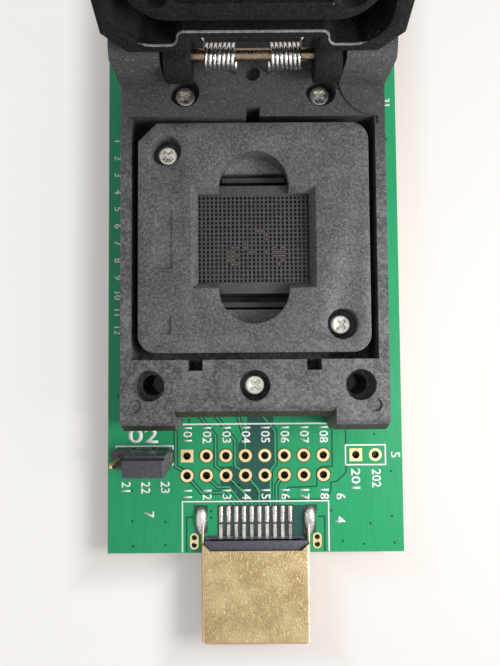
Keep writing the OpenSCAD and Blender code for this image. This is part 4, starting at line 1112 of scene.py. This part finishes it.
@dataclass
class EdgePlug(Assembly):
    """Gold edge plug with its insulator, contacts and solder, in millimetres.

    Attributes:
        fold_r: Radius of the folds along the shell.
        wall: Thickness of its sheet.
        shoulder: How far the sides reach back past the top's edge.
        overlap: How far the top reaches over the board.
        mouth_bevel: How far the mouth is drawn in.
        mouth_l: Length of the drawn-in part.
        slot_gap: Gap between the shell and the board's faces.
        thin_foot_l: Length of the two thin feet.
        board_t: Thickness of the board.
        contacts: Number of upper contacts, at a pitch of 1.
        pad_w: Width of their pads.
        foot_x: Place across of the feet.
        pad_rear: Place along of the pads' rear edge.
        pad_front: Place along of their front edge.
        strip_l: Length of the insulator's rear strip.
        strip_h: Height of its top over the board.
        step_l: How far its low step reaches back.
        step_h: Height of the step's top over the board.
        heap: Half the width, half the length and the height of a heap of solder.
    """

    fold_r: float = 0.5
    wall: float = 0.28
    shoulder: float = 0.75
    overlap: float = 0.64
    mouth_bevel: float = 0.32
    mouth_l: float = 0.35
    slot_gap: float = 0.08
    thin_foot_l: float = 3.2
    board_t: float = 1.6
    contacts: int = 10
    pad_w: float = 0.88
    foot_x: float = 7.05
    pad_rear: float = -33.2
    pad_front: float = -38.0
    strip_l: float = 1.4
    strip_h: float = 0.98
    step_l: float = 0.42
    step_h: float = 0.2
    heap: Point3 = (0.80, 1.85, 0.72)

    def build(self) -> None:
        """Dresses the plug's nodes."""
        self._shell()
        self._insulator()
        self._pads()
        self._solder()
        self.dresser.paint("plug_contacts_upper", self.finishes.tinned)
        self.dresser.paint("plug_contacts_lower", self.finishes.tinned)

    def _outline(self, inset: float) -> list[Vector]:
        """Gives the shell's outline across the plug: a box on a narrower foot, with round folds.

        Args:
            inset: How far the outline is drawn in, in millimetres.

        Returns:
            Points with the place across in x and the level in z, in millimetres of the frame.
        """
        low, high = (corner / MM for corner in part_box("plug_shell"))
        half = min(high.x, self.foot_x - 0.1) - inset
        top, bottom = high.z - inset, low.z + inset
        knee = top - (top - bottom) * 0.56
        r = self.fold_r
        lead = [(share * half, top) for share in (0.0, 0.35, 0.7, 0.84, 0.88)]
        turns = [math.radians(18.0 * k) for k in range(6)]
        fold = [(half - r + r * math.sin(t), top - r + r * math.cos(t)) for t in turns]
        foot = [(half, knee), (half - 0.12, knee - 0.3), (half - 0.4, knee - 0.55),
                (half - 1.5, bottom + 0.35), (half - 1.75, bottom + 0.08), (half - 2.05, bottom),
                (0.0, bottom)]
        right = lead + fold + foot
        left = [(-x, z) for x, z in reversed(right[1:-1])]
        return [Vector((x, 0.0, z)) for x, z in right + left]

    def _shell(self) -> None:
        """Bends the shell out of thin sheet, with its shoulders and the two thin feet."""
        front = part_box("plug_shell")[0].y / MM
        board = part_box("circuit_board")
        edge, level = board[0].y / MM - 0.04, board[1].z / MM
        rear = edge + self.overlap
        stations = [(front, self.mouth_bevel), (front + self.mouth_l, 0.0), (edge, 0.0), (rear, 0.0)]
        work = bmesh.new()
        rows = [[work.verts.new(p + Vector((0.0, y, 0.0))) for p in self._outline(inset)]
                for y, inset in stations]
        for first, second in zip(rows, rows[1:]):
            count = len(first)
            for k in range(count):
                work.faces.new([first[k], first[(k + 1) % count], second[(k + 1) % count], second[k]])
        bottom, top = level - self.board_t - self.slot_gap, level + self.slot_gap
        for z in (top, bottom):
            cut(work, Vector((0.0, 0.0, z)), Vector((0.0, 0.0, 1.0)))
        slot = [f for f in work.faces
                if f.calc_center_median().y > edge and bottom < f.calc_center_median().z < top]
        bmesh.ops.delete(work, geom=slot, context="FACES")
        half = max(v.co.x for v in work.verts)
        for vert in work.verts:
            if vert.co.y > rear - 1e-4 and vert.co.z > level:
                share = max(0.0, min(1.0, (abs(vert.co.x) - 0.84 * half) / (0.16 * half)))
                vert.co.y += self.shoulder * math.sin(share * math.pi / 2)
        bmesh.ops.recalc_face_normals(work, faces=work.faces)
        if max(work.faces, key=lambda f: f.calc_center_median().z).normal.z < 0.0:
            bmesh.ops.reverse_faces(work, faces=work.faces)
        bmesh.ops.solidify(work, geom=list(work.faces), thickness=self.wall)
        for side in (-1, 1):
            x = side * (half - self.wall / 2)
            start = Vector((x - self.wall / 2, rear, level + 0.06))
            end = Vector((x + self.wall / 2, rear + self.thin_foot_l, level + 0.75))
            join_into(work, slab(start, end, 0.08))
        bmesh.ops.scale(work, vec=(MM, MM, MM), verts=work.verts)
        bmesh.ops.recalc_face_normals(work, faces=work.faces)
        self._paint_folds(self.dresser.stand_in("plug_shell", work, self.finishes.plug, Body.SOCKET,
                                                Slot.PLUG_GOLD, 35.0))

    def _paint_folds(self, shell: bpy.types.Object) -> None:
        """Gives the right fold a white-gold painted highlight, on its faces turned towards the lamp, and the
        left fold and mouth a coppery finish.
        """
        shell.data.materials.append(self.finishes.fold_highlight)
        shell.data.materials.append(self.finishes.fold_copper)
        for face in shell.data.polygons:
            if face.normal.z < 0.08:
                continue
            # Faces turned to the right, towards the lamp, get the painted highlight; those turned left or to
            # the front get the coppery finish.
            if face.normal.x > 0.25:
                face.material_index = 1
            elif face.normal.x < -0.25 or face.normal.y < -0.25:
                face.material_index = 2

    def _insulator(self) -> None:
        """Keeps the moulded insulator and adds its wide rear strip with a low step."""
        self.dresser.paint("plug_insulator", self.finishes.insulator)
        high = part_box("plug_insulator")[1]
        level = self.plan.zero.z
        half = (self.foot_x - 0.45) * MM
        work = slab(Vector((-half, high.y - self.strip_l * MM, level + 0.06 * MM)),
                    Vector((half, high.y, level + self.strip_h * MM)), 0.12 * MM, 3)
        step = slab(Vector((-half, high.y - 0.1 * MM, level + 0.03 * MM)),
                    Vector((half, high.y + self.step_l * MM, level + self.step_h * MM)), 0.03 * MM, 1)
        join_into(work, step)
        fit(mesh_object("insulator_strip", work, self.finishes.insulator), Body.SOCKET, Slot.NYLON)

    def _pads(self) -> None:
        """Lays the tinned pads under the contacts and the feet, their tin darkened as painted shade between
        the contact bars.
        """
        pads = Layer(self.plan, "contact_pads", 0.012, 0.028)
        for index in range(self.contacts):
            pads.pad(index - (self.contacts - 1) / 2, self.pad_front, self.pad_rear, self.pad_w)
        for side in (-1, 1):
            pads.pad(side * self.foot_x, self.pad_front + 1.2, self.pad_rear - 0.1, 1.6)
        pads.finish(self.finishes.tin_painted_shade)

    def _solder(self) -> None:
        """Keeps the beads on the contacts and heaps solder round the thin feet."""
        work = copy_of(self.dresser.nodes["solder_joints"], 0.0)
        level = self.plan.zero.z
        feet = [v for v in work.verts if 6.0 < abs(v.co.x) / MM < 9.0 and v.co.z > level - 0.2 * MM]
        bmesh.ops.delete(work, geom=feet, context="VERTS")
        half_w, half_l, height = self.heap
        for side in (-1, 1):
            heap = bmesh.new()
            bmesh.ops.create_uvsphere(heap, u_segments=28, v_segments=18, radius=1.0)
            for vert in heap.verts:
                along = vert.co.y
                width = half_w - 0.16 * max(0.0, -along) ** 1.4
                ridge = height + 0.12 * math.sin(2.4 * along)
                vert.co = Vector((vert.co.x * width, along * half_l, vert.co.z * ridge))
            cut(heap, Vector((0.0, 0.0, 0.0)), Vector((0.0, 0.0, -1.0)), clear=True)
            bmesh.ops.holes_fill(heap, edges=[e for e in heap.edges if e.is_boundary])
            along = (self.pad_rear + self.pad_front) / 2 + 0.45
            place = Matrix.Translation(self.plan.at(side * (self.foot_x - 0.02), along, 0.03))
            bmesh.ops.transform(heap, matrix=place @ Matrix.Scale(MM, 4), verts=heap.verts)
            join_into(work, heap)
        piece = mesh_object("solder_dressed", work, self.finishes.solder, 50.0)
        fit(piece, Body.SOCKET, Slot.SOLDER, "solder_joints")


@dataclass
class JumperHeader(Assembly):
    """Three-pin header with its jumper cap.

    Attributes:
        pitch: Pitch of the pins.
        bore_r: Half the width of the cap's square bores.
        ledge_w: Width of the ledge along the cap's rear.
        ledge_drop: How far the ledge lies under the cap's top.
        slope: How far the wall over the ledge leans.
    """

    pitch: float = 2.54 * MM
    bore_r: float = 0.5 * MM
    ledge_w: float = 0.3 * MM
    ledge_drop: float = 1.3 * MM
    slope: float = 0.08 * MM

    def build(self) -> None:
        """Dresses the header and the cap."""
        self.dresser.bevelled("header_body", self.finishes.nylon, Body.SOCKET, Slot.NYLON)
        self.dresser.paint("header_pins", self.finishes.gold)
        self._cap()
        self.dresser.paint("jumper_clip", self.finishes.gold)

    def _cap(self) -> None:
        """Moulds the cap's closed outer shape, with a low ledge along its rear."""
        low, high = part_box("jumper_cap")
        step, edge = high.z - self.ledge_drop, high.y - self.ledge_w
        profile = [(low.y, low.z), (high.y, low.z), (high.y, step), (edge, step), (edge - self.slope, high.z),
                   (low.y, high.z)]
        work = bmesh.new()
        work.faces.new([work.verts.new((low.x, y, z)) for y, z in profile])
        thicken(work, high.x - low.x, (1.0, 0.0, 0.0))
        EdgeBreak(0.09 * MM, 3, 15.0).apply(work)
        for side in (-1, 1):
            middle = Vector(((low.x + high.x + side * self.pitch) / 2, (low.y + high.y) / 2, low.z))
            reach = Vector((self.bore_r, self.bore_r, 0.0))
            join_into(work, slab(middle - reach, middle + reach + Vector((0.0, 0.0, 0.02 * MM))))
        self.dresser.stand_in("jumper_cap", work, self.finishes.jumper, Body.JUMPER, Slot.JUMPER)


@dataclass
class ClamshellBase(Assembly):
    """Moulded base, contact field, guide plate and their screws.

    Attributes:
        foot_half: Half the width of the ledge behind the hinge.
        foot_l: How far it reaches back.
        foot_t: Its height.
        brow_w: Width of the slope on the front edges.
        brow_reach: How far behind the front the recess's edge lies at most.
    """

    foot_half: float = 9.0 * MM
    foot_l: float = 1.3 * MM
    foot_t: float = 8.7 * MM
    brow_w: float = 1.15 * MM
    brow_reach: float = 3.0 * MM

    def build(self) -> None:
        """Dresses the base's nodes."""
        f, d = self.finishes, self.dresser
        self._base()
        d.bevelled("guide_plate", f.guide, Body.GUIDE, Slot.GUIDE, EdgeBreak(0.09 * MM, 2, 40.0))
        d.paint("contact_block", f.contact)
        d.paint("contact_grid", f.contact)
        d.paint("contact_pins", f.gold)
        d.smoothed("guide_springs", f.spring, Body.SOCKET, Slot.SPRING)
        for name in ("base_screws", "guide_screws"):
            d.bevelled(name, f.screw, Body.SOCKET, Slot.SCREW, EdgeBreak(0.05 * MM, 2, 35.0))
        d.bevelled("base_nuts", f.screw, Body.SOCKET, Slot.SCREW, EdgeBreak(0.06 * MM, 1, 40.0))
        self._foot()

    def _base(self) -> None:
        """Moulds the base with a sloped brow on its front edges in a darker copy of its plastic, which paints
        the shade of the front walls; its other edges stay sharp.
        """
        work = copy_of(self.dresser.nodes["socket_base"], 0.05)
        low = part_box("socket_base")[0]
        deck = max(v.co.z for v in work.verts if v.co.y < low.y + 1 * MM)
        front = [e for e in work.edges
                 if all(v.co.y < low.y + self.brow_reach and abs(v.co.z - deck) < 0.05 * MM for v in e.verts)
                 and abs(e.verts[0].co.y - e.verts[1].co.y) < 0.01 * MM and e.calc_length() > 3 * MM
                 and any(f.normal.y < -0.9 for f in e.link_faces)]
        # The slope takes material 1, the darker plastic that paints the shade of the front walls.
        made = bevel(work, front, self.brow_w, 1, material=1)
        LOG.info("%d front edges sloped, %d faces", len(front), len(made))
        piece = self.dresser.stand_in("socket_base", work, self.finishes.base, Body.SOCKET, Slot.SOCKET, 16.0)
        piece.data.materials.append(self.finishes.brow)

    def _foot(self) -> None:
        """Adds the base's ledge on the board behind the hinge, in the darker copy of the base plastic that
        paints shade there.
        """
        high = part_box("socket_base")[1]
        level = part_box("circuit_board")[1].z
        work = slab(Vector((-self.foot_half, high.y - 0.4 * MM, level + 0.01 * MM)),
                    Vector((self.foot_half, high.y + self.foot_l, level + self.foot_t)), 0.12 * MM)
        fit(mesh_object("base_rear_ledge", work, self.finishes.brow), Body.SOCKET, Slot.SOCKET)


@dataclass
class Hinge(Assembly):
    """Hinge pin and the two torsion springs on it."""

    def build(self) -> None:
        """Dresses the hinge's nodes."""
        f, d = self.finishes, self.dresser
        d.smoothed("hinge_pin", f.pin, Body.SOCKET, Slot.PIN)
        for name in ("lid_spring_left", "lid_spring_right"):
            d.smoothed(name, f.spring, Body.SOCKET, Slot.SPRING)


@dataclass
class Lid(Assembly):
    """Lid frame, pressure plate and latch.

    Attributes:
        open_angle: Angle in degrees between the open lid and the closed one.
        lip_level: Level of the lip over the hinge, on the closed lid, in millimetres.
        lip_front: Place along of the lip's front limit from the hinge.
        lip_rear: Place along of the lip's rear limit from the hinge.
        lip_half: Half the lip's width.
        lip_w: Width of the bevel on the lip.
    """

    open_angle: float = 108.0
    lip_level: float = -3.25
    lip_front: float = -6.5
    lip_rear: float = -4.25
    lip_half: float = 12.0
    lip_w: float = 0.3 * MM

    def build(self) -> None:
        """Dresses the lid's nodes."""
        f, d = self.finishes, self.dresser
        self._frame()
        d.bevelled("pressure_plate", f.lid, Body.PRESSER, Slot.GUIDE, EdgeBreak(0.12 * MM, 2, 40.0))
        d.bevelled("pressure_screws", f.screw, Body.LID, Slot.SCREW, EdgeBreak(0.05 * MM, 2, 35.0))
        d.smoothed("pressure_springs", f.spring, Body.LID, Slot.SPRING)
        d.bevelled("latch", f.lid, Body.LATCH, Slot.SOCKET, EdgeBreak(0.11 * MM, 2, 40.0))
        d.smoothed("latch_pin", f.screw, Body.LID, Slot.SCREW)
        d.smoothed("latch_spring", f.spring, Body.LID, Slot.SPRING)

    def _frame(self) -> None:
        """Moulds the lid frame, with a pale bevel along the S-shaped lip at its rear rim as a painted
        highlight.
        """
        work = copy_of(self.dresser.nodes["lid_frame"])
        turn = Matrix.Rotation(math.radians(self.open_angle), 3, "X")
        hinge = (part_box("hinge_pin")[0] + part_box("hinge_pin")[1]) / 2

        def on_lip(vert: bmesh.types.BMVert) -> bool:
            """Says whether a corner lies on the lip of the closed lid."""
            place = (turn @ (vert.co - hinge)) / MM
            level = abs(place.z - self.lip_level) < 0.05
            return level and self.lip_front < place.y < self.lip_rear and abs(place.x) < self.lip_half

        lip = [e for e in work.edges if all(on_lip(v) for v in e.verts) and e.calc_face_angle(0.0) > 0.7]
        # The lip's bevel takes material 1, a pale plastic that paints the highlight along the lip.
        made = bevel(work, lip, self.lip_w, 2, material=1)
        LOG.info("%d lip edges, %d faces", len(lip), len(made))
        EdgeBreak(0.13 * MM, 2, 40.0).apply(work)
        piece = self.dresser.stand_in("lid_frame", work, self.finishes.lid, Body.LID, Slot.SOCKET)
        piece.data.materials.append(self.finishes.lip)


# ---------------------------------------------------------------- stage


@dataclass
class Studio:
    """Pale floor, soft light and the camera.

    Attributes:
        lens: Focal length in millimetres.
        camera_from_chip: Place of the camera in the board's drawing.
        tilt: Turn of the camera about X, in degrees from straight down.
        roll: Turn of the camera about its own axis, in degrees.
        key_from: Place of the lamp in the board's drawing.
        key_size: Width of the lamp in millimetres.
        key_level: Light of the lamp on the board.
        sky_level: Light from all round.
        floor_half: Half the width of the floor.
        floor_colour: Colour of the floor.
        floor_near: Share of its own light close to the object.
        floor_glow: Share of its own light away from the object.
    """

    lens: float = 32.43
    camera_from_chip: Point3 = (-0.57, -14.8, 79.0)
    tilt: float = 2.86
    roll: float = -0.45
    key_from: Point3 = (74.0, -26.0, 66.0)
    key_size: float = 42.0
    key_level: float = 0.62
    sky_level: float = 0.43
    floor_half: float = 0.6
    floor_colour: Colour = (0.80, 0.715, 0.68)
    # floor_near: Share of its own light close to the object, kept low so that a painted shade rings the
    # object.
    floor_near: float = 0.28
    floor_glow: float = 0.8

    def build(self, plan: BoardPlan) -> None:
        """Makes the stage round the object."""
        self._floor()
        self._sky()
        self._key(plan)
        self._camera(plan)

    def _floor(self) -> None:
        """Lays the floor at the level that the object stands on."""
        work = bmesh.new()
        bmesh.ops.create_grid(work, x_segments=1, y_segments=1, size=self.floor_half)
        n = Coat("floor")
        cloud = n.ramp(n.noise(n.where, 9.0, 3.0), 0.3, 0.7)
        colour = n.blend(cloud, self.floor_colour, tuple(c * 0.985 for c in self.floor_colour))
        material = n.finish({"Base Color": colour, "Roughness": 0.7})
        path = n.add("ShaderNodeLightPath")
        glow = n.add("ShaderNodeEmission", {"Color": (1.0, 0.99, 0.965)})
        # Painted shade: the glow is held back on and round the board and plug and rises only some millimetres
        # out, so a darker band rings the object besides its rendered shadow.
        away = n.maths("MINIMUM", *(self._beyond(n, node) for node in ("circuit_board", "plug_shell")))
        near = n.ramp(away, -1.5 * MM, -0.5 * MM, 0.0, self.floor_near)
        far = n.ramp(away, 1.5 * MM, 7.0 * MM, 0.0, self.floor_glow - self.floor_near)
        share = n.maths("MULTIPLY", path.outputs["Is Camera Ray"], n.maths("ADD", near, far))
        mixed = n.mix_shaders(share, n.shader, glow)
        n.add("ShaderNodeOutputMaterial", {"Surface": mixed}, is_active_output=True)
        mesh_object("floor", work, material, None)

    @staticmethod
    def _beyond(n: Coat, node: str) -> bpy.types.NodeSocket:
        """Gives how far a place of the floor lies outside the plan of a CAD node."""
        low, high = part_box(node)
        gaps = []
        for axis, start, end in (("X", low.x, high.x), ("Y", low.y, high.y)):
            offset = n.maths("ABSOLUTE", n.maths("SUBTRACT", n.axis(n.where, axis), (start + end) / 2))
            gaps.append(n.maths("SUBTRACT", offset, (end - start) / 2))
        return n.maths("MAXIMUM", *gaps)

    def _sky(self) -> None:
        """Lights the scene evenly from all round."""
        world = bpy.data.worlds.new("sky")
        world.use_nodes = True
        n = Nodes(world.node_tree)
        path = n.add("ShaderNodeLightPath")
        seen = path.outputs["Is Camera Ray"]
        for ray in ("Is Glossy Ray", "Is Transmission Ray"):
            seen = n.maths("MAXIMUM", seen, path.outputs[ray])
        light = n.add("ShaderNodeBackground", {"Color": (0.97, 0.985, 1.0), "Strength": self.sky_level})
        white = n.add("ShaderNodeBackground", {"Color": (1.0, 1.0, 1.0), "Strength": 1.0})
        n.add("ShaderNodeOutputWorld", {"Surface": n.mix_shaders(seen, light, white)})
        bpy.context.scene.world = world

    def _key(self, plan: BoardPlan) -> None:
        """Hangs one large soft lamp over the right rear."""
        place = plan.at(*self.key_from)
        reach = place - plan.zero
        lamp = bpy.data.lights.new("key", "AREA")
        lamp.shape = "SQUARE"
        lamp.size = self.key_size * MM
        lamp.color = (1.0, 0.985, 0.955)
        slope = reach.z / reach.length
        lamp.energy = self.key_level * math.pi ** 2 * reach.length_squared / slope
        holder = bpy.data.objects.new("key", lamp)
        holder.location = place
        holder.rotation_euler = (-reach).to_track_quat("-Z", "Y").to_euler()
        bpy.context.scene.collection.objects.link(holder)

    def _camera(self, plan: BoardPlan) -> None:
        """Sets the camera over the chip pocket, looking almost straight down."""
        data = bpy.data.cameras.new("camera")
        data.lens = self.lens
        data.sensor_width = 36.0
        data.clip_start, data.clip_end = 0.005, 5.0
        camera = bpy.data.objects.new("camera", data)
        camera.location = plan.at(*self.camera_from_chip)
        camera.rotation_euler = Euler((math.radians(self.tilt), 0.0, math.radians(self.roll)), "XYZ")
        bpy.context.scene.collection.objects.link(camera)
        bpy.context.scene.camera = camera


def main() -> None:
    """Loads the frame, builds every sub-assembly in order and sets the stage."""
    logging.basicConfig(level=logging.INFO, format="%(name)s: %(message)s")
    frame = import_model()
    bpy.context.scene.view_settings.view_transform = "Standard"
    plan = BoardPlan.from_frame()
    finishes = Finishes(Effects())
    dresser = Dresser(frame["nodes"])
    for assembly in (AdapterBoard, EdgePlug, JumperHeader, ClamshellBase, Hinge, Lid):
        assembly(plan, finishes, dresser).build()
    Studio().build(plan)


if __name__ == "__main__":
    main()
